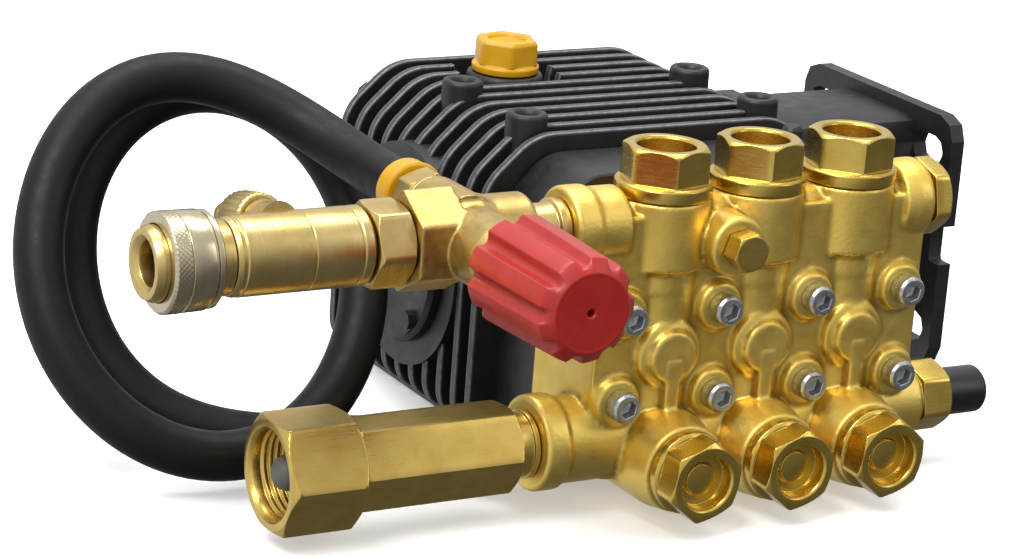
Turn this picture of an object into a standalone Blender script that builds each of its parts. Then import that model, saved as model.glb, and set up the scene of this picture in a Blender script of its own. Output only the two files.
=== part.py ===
"""Triplex plunger pump of a pressure washer, with its unloader, injector, couplings and bypass hose.

Lengths are in metres. Pump coordinates: x runs along the row of three cylinders, y runs from the
heads of the manifold bolts (y = 0) back to the crankcase, z is measured from the plunger axes.
shift() moves them to the world, where the crankcase stands on z = 0 and the crankshaft is at y = 0.
"""
import math

import bmesh
import bpy
from mathutils import Vector

MM = 0.001
GAP = 0.3 * MM

# Driving sizes
PITCH = 35.0 * MM
CYLINDERS = (-PITCH, 0.0, PITCH)
CRANK_Y = 127.0 * MM
AXIS_HEIGHT = 52.0 * MM
THROW = 4.5 * MM
PLUNGER_R = 8.0 * MM
CROSSHEAD_R = 12.0 * MM

CASE_FRONT = 46.0 * MM
CASE_REAR = 180.0 * MM
CASE_HALF = 58.0 * MM
CASE_TOP = 46.5 * MM
DECK_TOP = 48.0 * MM
FIN_HALF = CASE_HALF + 8 * MM
FIN_TOP = 53.5 * MM
FIN_COUNT = 11
FIN_FIRST = 78.0 * MM
FIN_PITCH = 10.0 * MM
FIN_THICK = 3.4 * MM
CHAMBER_HALF = 50.0 * MM
CHAMBER_FRONT = 88.0 * MM
CHAMBER_Z = 38.0 * MM
BEARING_BORE = 22.0 * MM
COVER_SEAT = -CASE_HALF - 9.2 * MM
FLANGE_SEAT = CASE_HALF + 8.5 * MM
SHAFT_END = CASE_HALF + 42 * MM
FLANGE_FACE = CASE_HALF + 72 * MM
FLANGE_SIZE = 92.0 * MM
FLANGE_THICK = 5.5 * MM
FLANGE_BOLT = 32.55 * MM

VALVE_Y = 18.7 * MM
COLUMN_R = 15.2 * MM
COLUMN_TOP = 49.3 * MM
VALVE_BORE = 9.4 * MM
DISCHARGE_Z = 41.0 * MM
SUCTION_Z = -33.3 * MM
GALLERY_Z = -29.0 * MM
SUCTION_FACE = -8.3 * MM
BOLT_X = PITCH / 2
BOLT_Z = 14.35 * MM
BLOCK_HALF = 3 * BOLT_X + 8.5 * MM

UNLOADER_X = -106.3 * MM
HOSE_Z = 45.5 * MM
HOSE_R = 8.0 * MM
KNOB_REAR = -15.7 * MM
KNOB_FACE = -59.7 * MM

NUT_FACE = -166.6 * MM
TUBE_END = -141.0 * MM

HOSE_START = 58.0 * MM
HOSE_POINTS = 44
OIL_SPOT = (-14.5 * MM, 157.0 * MM, 0.0)
GAUGE_SPOT = (-PITCH / 2, 0.0, 35.7 * MM)
RETURN_BOSS = (-75.1 * MM, 41.8 * MM, -38.5 * MM)
RETURN_AIM = (-14.2, 13.2, -1.9)
INJECTOR_SPOT = (-166.0 * MM, 33.4 * MM, 46.5 * MM)
INJECTOR_AIM = (0.0, 0.97, -0.22)
BOLTS = tuple((k * BOLT_X, 0.0, z) for z in (BOLT_Z, -BOLT_Z) for k in (-3, -1, 1, 3))
WELD = 0.001 * MM
ADD = "UNION"
CUT = "DIFFERENCE"

ROUTE = (
    (-106.3, 58.0, 45.5), (-106.3, 80.6, 45.5), (-113.0, 100.2, 51.3), (-127.7, 114.5, 60.6),
    (-144.5, 123.1, 66.8), (-162.8, 125.9, 67.5), (-180.2, 123.7, 61.4), (-194.9, 117.5, 49.6),
    (-205.4, 108.8, 33.9), (-210.5, 98.6, 16.3), (-209.5, 88.0, -1.2), (-202.5, 77.9, -17.1),
    (-190.2, 69.5, -29.8), (-174.0, 63.8, -37.8), (-156.0, 61.5, -40.2), (-138.1, 63.0, -36.8),
    (-122.1, 68.1, -27.9), (-109.5, 76.2, -14.8), (-101.2, 86.3, 1.0), (-98.1, 97.7, 18.1),
    (-100.7, 109.6, 34.6), (-109.3, 121.3, 48.5), (-122.9, 131.3, 57.6), (-139.7, 138.4, 60.1),
    (-156.8, 141.4, 55.2), (-171.7, 140.1, 44.0), (-182.4, 135.1, 28.3), (-187.7, 127.3, 10.4),
    (-187.3, 117.9, -7.6), (-181.0, 108.0, -23.4), (-169.4, 98.7, -35.1), (-153.8, 90.4, -41.6),
    (-135.7, 83.0, -43.6), (-117.2, 75.2, -43.2), (-100.2, 65.2, -41.9), (-86.0, 52.0, -40.0),
)


def shift(point):
    """Pump coordinates to the world."""
    return Vector((point[0], point[1] - CRANK_Y, point[2] + AXIS_HEIGHT))


def material(name, color, metallic, roughness):
    made = bpy.data.materials.new(name)
    made.use_nodes = True
    shader = made.node_tree.nodes["Principled BSDF"]
    shader.inputs["Base Color"].default_value = (*color, 1.0)
    shader.inputs["Metallic"].default_value = metallic
    shader.inputs["Roughness"].default_value = roughness
    return made


def ring(radius, count, turn=0.0):
    """Points of a regular outline, as (a, b) pairs."""
    step = 2 * math.pi / count
    return [(radius * math.cos(turn + step * i), radius * math.sin(turn + step * i)) for i in range(count)]


def hexagon(flats, turn=0.0):
    return ring(flats / math.sqrt(3), 6, turn)


def rounded_box(half_a, half_b, radius, steps=2):
    """Outline of a box with round corners, as (a, b) pairs."""
    points = []
    for k, (sa, sb) in enumerate(((1, 1), (-1, 1), (-1, -1), (1, -1))):
        for i in range(steps + 1):
            angle = math.pi / 2 * (k + i / steps)
            a = sa * (half_a - radius) + radius * math.cos(angle)
            b = sb * (half_b - radius) + radius * math.sin(angle)
            points.append((a, b))
    return points


def on_axis(axis, at, t, a, b):
    """A point at distance t along an axis through at, and (a, b) off it."""
    x, y, z = at
    if axis == "X":
        return (x + t, y + a, z + b)
    if axis == "Y":
        return (x + a, y + t, z + b)
    return (x + a, y + b, z + t)


def loft(sections, axis, at, hollow=False):
    """Skin through sections of equal count; each is (t, outline). A closed tube when hollow."""
    verts = [on_axis(axis, at, t, a, b) for t, outline in sections for a, b in outline]
    count = len(sections[0][1])
    faces = []
    spans = len(sections) if hollow else len(sections) - 1
    for s in range(spans):
        low = s * count
        high = ((s + 1) % len(sections)) * count
        for i in range(count):
            j = (i + 1) % count
            faces.append((low + i, low + j, high + j, high + i))
    if not hollow:
        faces.append(tuple(range(count)))
        last = (len(sections) - 1) * count
        faces.append(tuple(range(last, last + count)))
    return verts, faces


def rod(axis, at, start, end, radius, count=16):
    """A plain round bar."""
    outline = ring(radius, count)
    return loft([(start, outline), (end, outline)], axis, at)


def turned(axis, at, profile, count=18, hollow=False):
    """A turned bar through (t, radius) steps, or a closed ring of that section when hollow."""
    return loft([(t, ring(radius, count)) for t, radius in profile], axis, at, hollow)


def bar(axis, at, start, end, outline):
    """A bar of constant outline."""
    return loft([(start, outline), (end, outline)], axis, at)


def block(low, high):
    """A plain block between two corners."""
    half_a = (high[0] - low[0]) / 2
    half_b = (high[1] - low[1]) / 2
    centre = (low[0] + half_a, low[1] + half_b, 0.0)
    outline = [(half_a, half_b), (-half_a, half_b), (-half_a, -half_b), (half_a, -half_b)]
    return bar("Z", centre, low[2], high[2], outline)


def build_mesh(name, pieces, origin):
    """One mesh of several closed pieces that stay clear of each other, faces outward."""
    made = bmesh.new()
    for verts, faces in pieces:
        points = [made.verts.new(shift(v) - origin) for v in verts]
        for face in faces:
            made.faces.new([points[i] for i in face])
    bmesh.ops.recalc_face_normals(made, faces=made.faces)
    mesh = bpy.data.meshes.new(name)
    made.to_mesh(mesh)
    made.free()
    return mesh


def weld(mesh):
    """Joins points that a cut left within a micron of each other."""
    made = bmesh.new()
    made.from_mesh(mesh)
    bmesh.ops.remove_doubles(made, verts=made.verts, dist=WELD)
    bmesh.ops.dissolve_degenerate(made, edges=made.edges, dist=WELD)
    made.to_mesh(mesh)
    made.free()


def make(name, finish, base, steps=(), at=(0.0, 0.0, 0.0), sharp=32.0):
    """One sub-part: a base solid, then solids added to it and cut from it, in the order given."""
    origin = shift(at)
    part = bpy.data.objects.new(name, build_mesh(name, [base], origin))
    part.location = origin
    bpy.context.scene.collection.objects.link(part)
    helpers = []
    for operation, pieces in steps:
        helper = bpy.data.objects.new(name + "_tool", build_mesh(name + "_tool", pieces, origin))
        helper.location = origin
        bpy.context.scene.collection.objects.link(helper)
        change = part.modifiers.new(operation, "BOOLEAN")
        change.operation = operation
        change.solver = "EXACT"
        change.object = helper
        helpers.append(helper)
    if helpers:
        bpy.context.view_layer.update()
        graph = bpy.context.evaluated_depsgraph_get()
        mesh = bpy.data.meshes.new_from_object(part.evaluated_get(graph))
        weld(mesh)
        part.modifiers.clear()
        part.data = mesh
        for helper in helpers:
            bpy.data.objects.remove(helper)
    part.data.name = name
    part.data.materials.clear()
    part.data.materials.append(finish)
    part.data.shade_smooth()
    part.data.set_sharp_from_angle(angle=math.radians(sharp))
    return part


def fin_outline(half, shoulder, top, drop, foot, base):
    """Outline of a slice across the crankcase, as (x, z) pairs, round at its lower corners."""
    right = [(half, drop), (shoulder, top)]
    corner = []
    for i in range(4):
        angle = math.pi / 2 * i / 3
        x = half - foot + foot * math.sin(angle)
        z = base + foot - foot * math.cos(angle)
        corner.append((x, z))
    right = corner + right
    left = [(-x, z) for x, z in reversed(right)]
    return right + left


def case_outline(half, shoulder, top):
    """Outline of the crankcase between its fins, as (x, z) pairs, flat on the ground."""
    right = [(half, 33 * MM), (shoulder, top)]
    left = [(-shoulder, top), (-half, 33 * MM)]
    return right + left + [(-half, -AXIS_HEIGHT), (half, -AXIS_HEIGHT)]


def make_crankcase(coat):
    """Cast body: fins, crosshead bores, bearing bores, a crank chamber open to the rear."""
    nose = case_outline(CASE_HALF, 46 * MM, DECK_TOP)
    root = case_outline(CASE_HALF - 0.4 * MM, 45 * MM, CASE_TOP)
    step = FIN_FIRST - FIN_THICK
    body = loft(
        [(CASE_FRONT, nose), (step, nose), (step + 0.5 * MM, root), (CASE_REAR, root)], "Y", (0, 0, 0),
    )
    outline = fin_outline(FIN_HALF, 48 * MM, FIN_TOP, 37 * MM, 14 * MM, -49.5 * MM)
    fins = []
    for i in range(FIN_COUNT):
        y = FIN_FIRST + FIN_PITCH * i
        fins.append(bar("Y", (0, 0, 0), y - FIN_THICK / 2, y + FIN_THICK / 2, outline))
    centre = (0.0, CRANK_Y, 0.0)
    left_boss = rod("X", centre, COVER_SEAT, -49 * MM, 38 * MM, 24)
    right_boss = bar("X", centre, 49 * MM, FLANGE_SEAT, rounded_box(27 * MM, 44 * MM, 8 * MM))
    spots = (
        (-44.5 * MM, 89 * MM, 0), (46 * MM, 89 * MM, 0), (-44.5 * MM, 133 * MM, 0),
        (45 * MM, 131 * MM, 0),
    )
    boss_steps = [(30 * MM, 7 * MM), (57 * MM, 7 * MM), (57.8 * MM, 6.2 * MM)]
    bosses = [turned("Z", spot, boss_steps, 12) for spot in spots]
    dimples = [rod("Z", spot, 53 * MM, 59 * MM, 3.2 * MM, 8) for spot in spots]
    oil_boss = rod("Z", OIL_SPOT, 40 * MM, 53 * MM, 13.5 * MM, 16)
    vent_steps = [(40 * MM, 3.6 * MM), (54 * MM, 3.6 * MM), (55.5 * MM, 2.4 * MM)]
    vent = turned("Z", (41 * MM, 60 * MM, 0), vent_steps, 8)
    room = block((-CHAMBER_HALF, CHAMBER_FRONT, -CHAMBER_Z), (CHAMBER_HALF, CASE_REAR + 2 * MM, CHAMBER_Z))
    bore_end = CHAMBER_FRONT + 1 * MM
    bores = [rod("Y", (x, 0, 0), CASE_FRONT - 1 * MM, bore_end, CROSSHEAD_R + GAP, 16) for x in CYLINDERS]
    side = rod("X", centre, COVER_SEAT - 1 * MM, FLANGE_SEAT + 1 * MM, BEARING_BORE, 24)
    screws = [rod("Y", spot, CASE_FRONT - 1 * MM, 66 * MM, 3.3 * MM, 8) for spot in BOLTS]
    clear = rod("Z", OIL_SPOT, 47.2 * MM, 60 * MM, 18 * MM, 20)
    filler = rod("Z", OIL_SPOT, 36 * MM, 55 * MM, 9.3 * MM, 16)
    steps = [
        (ADD, fins), (CUT, [clear]), (ADD, [left_boss]), (ADD, [right_boss]),
        (ADD, bosses + [oil_boss, vent]), (CUT, [room]), (CUT, bores), (CUT, [side]),
        (CUT, screws), (CUT, dimples + [filler]),
    ]
    return make("crankcase", coat, body, steps, at=centre)


def make_case_parts(coat, steel, yellow, glass):
    """Covers, flange, plugs and oil cap of the crankcase."""
    centre = (0.0, CRANK_Y, 0.0)
    rear = (0.0, CASE_REAR, 0.0)
    face = GAP
    plate = bar("Y", rear, face, 6 * MM, rounded_box(56 * MM, 44 * MM, 9 * MM))
    heads = []
    for x, z in ((-50, 38), (50, 38), (-50, -38), (50, -38), (0, 40), (0, -40)):
        heads.append(
            turned(
                "Y", (x * MM, CASE_REAR, z * MM),
                [(5 * MM, 5 * MM), (10 * MM, 5 * MM), (10.8 * MM, 4.2 * MM)], 10,
            )
        )
    glass_hole = rod("Y", (0, CASE_REAR, -6 * MM), -1 * MM, 8 * MM, 9.3 * MM, 16)
    drain_hole = rod("Y", (22 * MM, CASE_REAR, -29 * MM), -1 * MM, 8 * MM, 5.3 * MM, 12)
    make("rear_cover", coat, plate, [(ADD, heads), (CUT, [glass_hole, drain_hole])], at=rear)
    glass_steps = [
        (0, 9 * MM), (6.3 * MM, 9 * MM), (6.3 * MM, 12 * MM), (9 * MM, 12 * MM), (10 * MM, 11 * MM),
    ]
    make(
        "oil_sight_glass", glass, turned("Y", (0, CASE_REAR, -6 * MM), glass_steps),
        at=(0, CASE_REAR, -6 * MM),
    )
    drain_steps = [(-2 * MM, 5 * MM), (6.3 * MM, 5 * MM)]
    head = bar("Y", (22 * MM, CASE_REAR, -29 * MM), 6.3 * MM, 12 * MM, hexagon(13 * MM))
    drain = turned("Y", (22 * MM, CASE_REAR, -29 * MM), drain_steps + [(8 * MM, 5 * MM)], 12)
    make("oil_drain_plug", steel, drain, [(ADD, [head])], at=(22 * MM, CASE_REAR, -29 * MM))
    cover_steps = [
        (COVER_SEAT - GAP, 30 * MM), (COVER_SEAT - 2.8 * MM, 30 * MM), (COVER_SEAT - 4.3 * MM, 28.5 * MM),
        (COVER_SEAT - 4.3 * MM, 20 * MM), (COVER_SEAT - 3 * MM, 18 * MM),
    ]
    cover = turned("X", centre, cover_steps, 24)
    screws = []
    for a, b in ring(25 * MM, 4, math.pi / 4):
        screws.append(rod("X", (0, CRANK_Y + a, b), COVER_SEAT - 6.8 * MM, COVER_SEAT - 3.8 * MM, 3.4 * MM, 8))
    make("left_bearing_cover", coat, cover, [(ADD, screws)], at=centre)

    edge = FLANGE_SIZE / 2
    plate = bar("X", centre, FLANGE_FACE - FLANGE_THICK, FLANGE_FACE, rounded_box(edge, edge, 8 * MM))
    neck = rounded_box(24 * MM, 42 * MM - GAP, 6 * MM)
    web = bar("X", centre, FLANGE_SEAT + GAP, FLANGE_FACE - 2 * MM, neck)
    foot = bar("X", centre, FLANGE_SEAT + GAP, FLANGE_SEAT + 7.5 * MM, rounded_box(27 * MM, 44 * MM, 8 * MM))
    before, beyond = FLANGE_FACE - 12 * MM, FLANGE_FACE + 2 * MM
    notch = bar("X", (0, CRANK_Y - edge, 0), before, beyond, rounded_box(6 * MM, 7 * MM, 1.5 * MM, 2))
    pilot = FLANGE_FACE - 2.5 * MM
    way = [
        (FLANGE_SEAT - 6 * MM, 20 * MM), (pilot - 0.1 * MM, 20 * MM), (pilot, 30.2 * MM), (beyond, 30.2 * MM),
    ]
    tunnel = turned("X", centre, way, 16)
    slots = []
    for a in (-FLANGE_BOLT, FLANGE_BOLT):
        for b in (-FLANGE_BOLT, FLANGE_BOLT):
            outline = rounded_box(8.6 * MM, 5.4 * MM, 5 * MM, 2)
            slots.append(bar("X", (0, CRANK_Y + a, b), before, beyond, outline))
    steps = [(ADD, [web]), (ADD, [foot]), (CUT, [tunnel]), (CUT, slots + [notch])]
    make("engine_flange", coat, plate, steps, at=centre)

    cap_steps = [
        (46 * MM, 8.8 * MM), (53 * MM + GAP, 8.8 * MM), (53 * MM + GAP, 11.8 * MM), (56 * MM, 11.8 * MM),
    ]
    cap_steps += [(56 * MM, 9 * MM), (57 * MM, 9 * MM)]
    head = loft(
        [
            (55.5 * MM, hexagon(20.5 * MM, 0.2)), (64 * MM, hexagon(20.5 * MM, 0.2)),
            (65 * MM, hexagon(18.5 * MM, 0.2)),
        ],
        "Z", OIL_SPOT,
    )
    dish = rod("Z", OIL_SPOT, 63.4 * MM, 66 * MM, 6.5 * MM, 12)
    make(
        "oil_fill_cap", yellow, turned("Z", OIL_SPOT, cap_steps), [(ADD, [head]), (CUT, [dish])],
        at=OIL_SPOT,
    )


def make_drive(steel, ceramic):
    """Crankshaft with three eccentrics, its bearings, and a plunger with its rod for each cylinder."""
    centre = (0.0, CRANK_Y, 0.0)
    journal = CASE_HALF - 11 * MM
    shaft = turned(
        "X", centre,
        [
            (-journal - 17 * MM, 13 * MM), (-journal, 13 * MM), (-journal, 11 * MM), (journal, 11 * MM),
            (journal, 13 * MM), (SHAFT_END, 13 * MM),
        ],
        20,
    )
    throws = []
    for k, x in enumerate(CYLINDERS):
        angle = 2 * math.pi * k / 3
        off = (x, CRANK_Y + THROW * math.sin(angle), THROW * math.cos(angle))
        throws.append(rod("X", off, -6 * MM, 6 * MM, 16.5 * MM, 20))
    socket = rod("X", centre, SHAFT_END - 44 * MM, SHAFT_END + 1 * MM, 9.525 * MM, 20)
    key = block((SHAFT_END - 46 * MM, CRANK_Y - 2.4 * MM, 0), (SHAFT_END + 1 * MM, CRANK_Y + 2.4 * MM, 11.6 * MM))
    make("crankshaft", steel, shaft, [(ADD, throws), (CUT, [socket]), (CUT, [key])], at=centre)
    section = [(-6 * MM, 13.3 * MM), (-6 * MM, 21.7 * MM), (6 * MM, 21.7 * MM), (6 * MM, 13.3 * MM)]
    for name, x in (("crank_bearing_left", -CASE_HALF), ("crank_bearing_right", CASE_HALF)):
        spot = (x, CRANK_Y, 0)
        make(name, steel, turned("X", spot, section, 24, hollow=True), at=spot)
    for k, x in enumerate(CYLINDERS):
        spot = (x, CRANK_Y, 0)
        eye = [(-5 * MM, 26 * MM), (-5 * MM, 30.5 * MM), (5 * MM, 30.5 * MM), (5 * MM, 26 * MM)]
        shank = block((x - 4 * MM, 90 * MM + GAP, -6 * MM), (x + 4 * MM, 99 * MM, 6 * MM))
        make(
            f"connecting_rod_{k + 1}", steel, turned("X", spot, eye, 24, hollow=True), [(ADD, [shank])],
            at=spot,
        )
        plunger = [
            (26 * MM, PLUNGER_R - 0.8 * MM), (26.8 * MM, PLUNGER_R), (62 * MM, PLUNGER_R),
            (62 * MM, CROSSHEAD_R), (90 * MM, CROSSHEAD_R),
        ]
        make(f"plunger_{k + 1}", ceramic, turned("Y", (x, 0, 0), plunger, 16), at=(x, 40 * MM, 0))


def make_manifold(brass):
    """Cast head: three valve columns, suction chambers, both galleries, and the bores inside them."""
    at = (0, 0, 0)
    core = bar("Y", (0, 0, 2 * MM), 9 * MM, CASE_FRONT - GAP, rounded_box(BLOCK_HALF, 43 * MM, 9 * MM))
    steps = []
    upper = []
    lower = []
    discs = []
    suction = []
    ribs = []
    for x in CYLINDERS:
        column = [
            (24 * MM, 12.6 * MM), (26.5 * MM, COLUMN_R), (COLUMN_TOP - 1 * MM, COLUMN_R),
            (COLUMN_TOP, COLUMN_R - 1 * MM),
        ]
        upper.append(turned("Z", (x, VALVE_Y, 0), column, 18))
        lower.append(rod("Z", (x, VALVE_Y, 0), -36 * MM, 24 * MM, 12.55 * MM, 16))
        disc = [
            (3.2 * MM, 7.4 * MM), (3.8 * MM, 8 * MM), (5.4 * MM, 8.3 * MM), (6 * MM, 11.2 * MM),
            (15 * MM, 11.8 * MM),
        ]
        discs.append(turned("Y", (x, 0, 0), disc, 14))
        chamber = [(SUCTION_FACE, 14 * MM), (-6 * MM, 14.2 * MM), (2 * MM, 16 * MM), (24 * MM, 16 * MM)]
        suction.append(turned("Y", (x, 0, SUCTION_Z), chamber, 16))
        ribs.append(block((x - 2.9 * MM, 2.4 * MM, -26 * MM), (x + 2.9 * MM, 14.5 * MM, -2 * MM)))
    bosses = [turned("Y", spot, [(6 * MM, 7.4 * MM), (7 * MM, 8 * MM), (14 * MM, 9 * MM)], 12) for spot in BOLTS]
    top_gallery = [
        (-72 * MM, 12 * MM), (-71 * MM, 13 * MM), (-64 * MM, 13 * MM), (-62 * MM, 12 * MM),
        (-52 * MM, 12 * MM),
    ]
    top_gallery += [(-51 * MM, 8.2 * MM), (51 * MM, 8.2 * MM), (52 * MM, 12 * MM), (57 * MM, 13 * MM)]
    top_gallery += [(61.5 * MM, 13 * MM), (62.5 * MM, 12 * MM)]
    low_gallery = [
        (-78 * MM, 14.4 * MM), (-77 * MM, 15.4 * MM), (-70 * MM, 15.4 * MM), (-69 * MM, 14 * MM),
        (66 * MM, 13.5 * MM),
    ]
    gauge = [(-1.2 * MM, 8.6 * MM), (-0.2 * MM, 9.6 * MM), (14 * MM, 9.6 * MM)]
    pad = turned("Y", GAUGE_SPOT, gauge, 14)
    return_boss = turned_along(RETURN_BOSS, RETURN_AIM, [(-16 * MM, 8.5 * MM), (0, 8.5 * MM)], 14)
    steps += [
        (ADD, upper), (ADD, lower), (ADD, suction),
        (ADD, [turned("X", (0, VALVE_Y, DISCHARGE_Z), top_gallery, 16)]),
    ]
    steps += [
        (ADD, [turned("X", (0, VALVE_Y, GALLERY_Z), low_gallery, 16)]), (ADD, discs + bosses),
        (ADD, ribs),
    ]
    steps += [(ADD, [pad]), (ADD, [return_boss])]
    wells = []
    seats = []
    cups = []
    ports = []
    drills = []
    rams = []
    for x in CYLINDERS:
        wells.append(rod("Z", (x, VALVE_Y, 0), 21.7 * MM, 60 * MM, VALVE_BORE, 12))
        seats.append(rod("Z", (x, VALVE_Y, 0), 1.7 * MM, 22.4 * MM, 5.6 * MM, 10))
        cups.append(rod("Y", (x, 0, SUCTION_Z), -20 * MM, 9 * MM, VALVE_BORE, 12))
        ports.append(rod("Y", (x, 0, SUCTION_Z), 8 * MM, 20 * MM, 5.6 * MM, 10))
        drills.append(rod("Z", (x, 7.7 * MM, 0), -29.5 * MM, 1 * MM, 2.6 * MM, 8))
        way = PLUNGER_R + 1 * MM
        ram = [(7.6 * MM, way), (29 * MM, way), (29 * MM, 13 * MM), (CASE_FRONT + 1 * MM, 13 * MM)]
        rams.append(turned("Y", (x, 0, 0), ram, 16))
    high_bore = rod("X", (0, VALVE_Y, DISCHARGE_Z), -75 * MM, 64 * MM, 6 * MM, 12)
    low_bore = rod("X", (0, VALVE_Y, GALLERY_Z), -80 * MM, 68 * MM, 8 * MM, 14)
    holes = [rod("Y", spot, 0, CASE_FRONT + 1 * MM, 3.3 * MM, 8) for spot in BOLTS]
    tap = rod("Y", GAUGE_SPOT, -3 * MM, 18 * MM, 4.3 * MM, 10)
    back = turned_along(RETURN_BOSS, RETURN_AIM, [(-22 * MM, 5 * MM), (1 * MM, 5 * MM)], 10)
    steps += [(CUT, rams), (CUT, seats), (CUT, wells), (CUT, ports), (CUT, cups), (CUT, drills)]
    steps += [(CUT, [high_bore]), (CUT, [low_bore]), (CUT, holes), (CUT, [tap]), (CUT, [back])]
    make("manifold", brass, core, steps, at=at, sharp=40.0)


def turned_along(start, aim, profile, count):
    """A turned bar along a slanting direction."""
    aim = Vector(aim).normalized()
    side = aim.cross(Vector((0, 0, 1))).normalized()
    up = side.cross(aim)
    verts = []
    faces = []
    for t, radius in profile:
        for a, b in ring(radius, count):
            verts.append(tuple(Vector(start) + aim * t + side * a + up * b))
    for s in range(len(profile) - 1):
        for i in range(count):
            j = (i + 1) % count
            faces.append((s * count + i, s * count + j, (s + 1) * count + j, (s + 1) * count + i))
    faces.append(tuple(range(count)))
    last = (len(profile) - 1) * count
    faces.append(tuple(range(last, last + count)))
    return verts, faces


def make_valves(brass, steel, rubber):
    """Caps, valves and plunger packings."""
    for k, x in enumerate(CYLINDERS):
        top = (x, VALVE_Y, 0)
        cap = [
            (38 * MM, 4 * MM), (47.5 * MM, 4 * MM), (47.5 * MM, 9 * MM), (COLUMN_TOP + GAP, 9 * MM),
            (COLUMN_TOP + GAP, 15.6 * MM), (53.2 * MM, 15.6 * MM), (54 * MM, 14.8 * MM),
        ]
        head = bar("Z", top, 53.5 * MM, 65.2 * MM, hexagon(25 * MM, 0.26))
        dish = rod("Z", top, 57.5 * MM, 66 * MM, 9.3 * MM, 16)
        guide = rod("Z", top, 37 * MM, 49 * MM, 2.8 * MM, 10)
        make(
            f"discharge_valve_cap_{k + 1}", brass, turned("Z", top, cap),
            [(ADD, [head]), (CUT, [dish]), (CUT, [guide])], at=top,
        )
        low = (x, 0, SUCTION_Z)
        face = SUCTION_FACE - GAP
        cap = [
            (-1 * MM, 4 * MM), (-4 * MM, 4 * MM), (-4 * MM, 9 * MM), (face, 9 * MM), (face, 13.4 * MM),
            (-11.8 * MM, 13.4 * MM), (-12.5 * MM, 12.7 * MM),
        ]
        head = bar("Y", low, -21.6 * MM, -12 * MM, hexagon(23.5 * MM, 0.35))
        dish = rod("Y", low, -22 * MM, -16 * MM, 8.7 * MM, 16)
        guide = rod("Y", low, -8 * MM, 0, 2.8 * MM, 10)
        make(
            f"suction_valve_cap_{k + 1}", brass, turned("Y", low, cap),
            [(ADD, [head]), (CUT, [dish]), (CUT, [guide])], at=low,
        )
        valve = [(22 * MM, 8.2 * MM), (24 * MM, 8.2 * MM), (25 * MM, 2.5 * MM), (44 * MM, 2.5 * MM)]
        make(f"discharge_valve_{k + 1}", steel, turned("Z", top, valve, 14), at=(x, VALVE_Y, 22 * MM))
        valve = [(8.7 * MM, 8.2 * MM), (6.7 * MM, 8.2 * MM), (5.7 * MM, 2.5 * MM), (-3 * MM, 2.5 * MM)]
        make(f"suction_valve_{k + 1}", steel, turned("Y", low, valve, 14), at=(x, 8.7 * MM, SUCTION_Z))
        ram = (x, 0, 0)
        inner = PLUNGER_R + GAP
        seal = [(29.3 * MM, inner), (29.3 * MM, 12.7 * MM), (44 * MM, 12.7 * MM), (44 * MM, inner)]
        make(
            f"plunger_packing_{k + 1}", rubber, turned("Y", ram, seal, 16, hollow=True),
            at=(x, 29.3 * MM, 0),
        )


def make_fasteners(steel, brass, black):
    """Manifold bolts, gauge and gallery plugs, thermal relief valve."""
    for k, spot in enumerate(BOLTS):
        shape = [
            (0.6 * MM, 4.4 * MM), (0, 4.4 * MM), (0.6 * MM, 5 * MM), (6 * MM - GAP, 5 * MM),
            (6 * MM - GAP, 3 * MM), (64 * MM, 3 * MM),
        ]
        shape = shape[1:]
        key = bar("Y", spot, -1 * MM, 3.4 * MM, hexagon(5 * MM))
        make(f"manifold_bolt_{k + 1}", steel, turned("Y", spot, shape, 12), [(CUT, [key])], at=spot)
    plug = [(-3 * MM, 4 * MM), (12 * MM, 4 * MM)]
    head = bar("Y", GAUGE_SPOT, -8.5 * MM, -1.2 * MM - GAP, hexagon(11.5 * MM, 0.2))
    make("gauge_port_plug", brass, turned("Y", GAUGE_SPOT, plug, 12), [(ADD, [head])], at=GAUGE_SPOT)
    spot = (0, VALVE_Y, DISCHARGE_Z)
    plug = [(52 * MM, 5.7 * MM), (62.8 * MM, 5.7 * MM), (62.8 * MM, 9.5 * MM), (64 * MM, 9.5 * MM)]
    head = bar("X", spot, 63 * MM, 70 * MM, hexagon(22.5 * MM, 0.3))
    make("gallery_plug", brass, turned("X", spot, plug, 16), [(ADD, [head])], at=spot)
    spot = (0, VALVE_Y, GALLERY_Z)
    stem = [(58 * MM, 7.7 * MM), (66.3 * MM, 7.7 * MM), (66.3 * MM, 10 * MM), (69 * MM, 10 * MM)]
    head = bar("X", spot, 68.5 * MM, 80 * MM, hexagon(21 * MM, 0.3))
    tip = rod("X", spot, 79 * MM, 90 * MM, 5 * MM, 12)
    make("thermal_relief_valve", brass, turned("X", spot, stem, 16), [(ADD, [head]), (ADD, [tip])], at=spot)
    hood = [(80.3 * MM, 8 * MM), (96 * MM, 8 * MM), (97 * MM, 7 * MM)]
    well = rod("X", spot, 79 * MM, 91 * MM, 5.3 * MM, 12)
    make("relief_valve_cap", black, turned("X", spot, hood, 16), [(CUT, [well])], at=spot)


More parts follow.
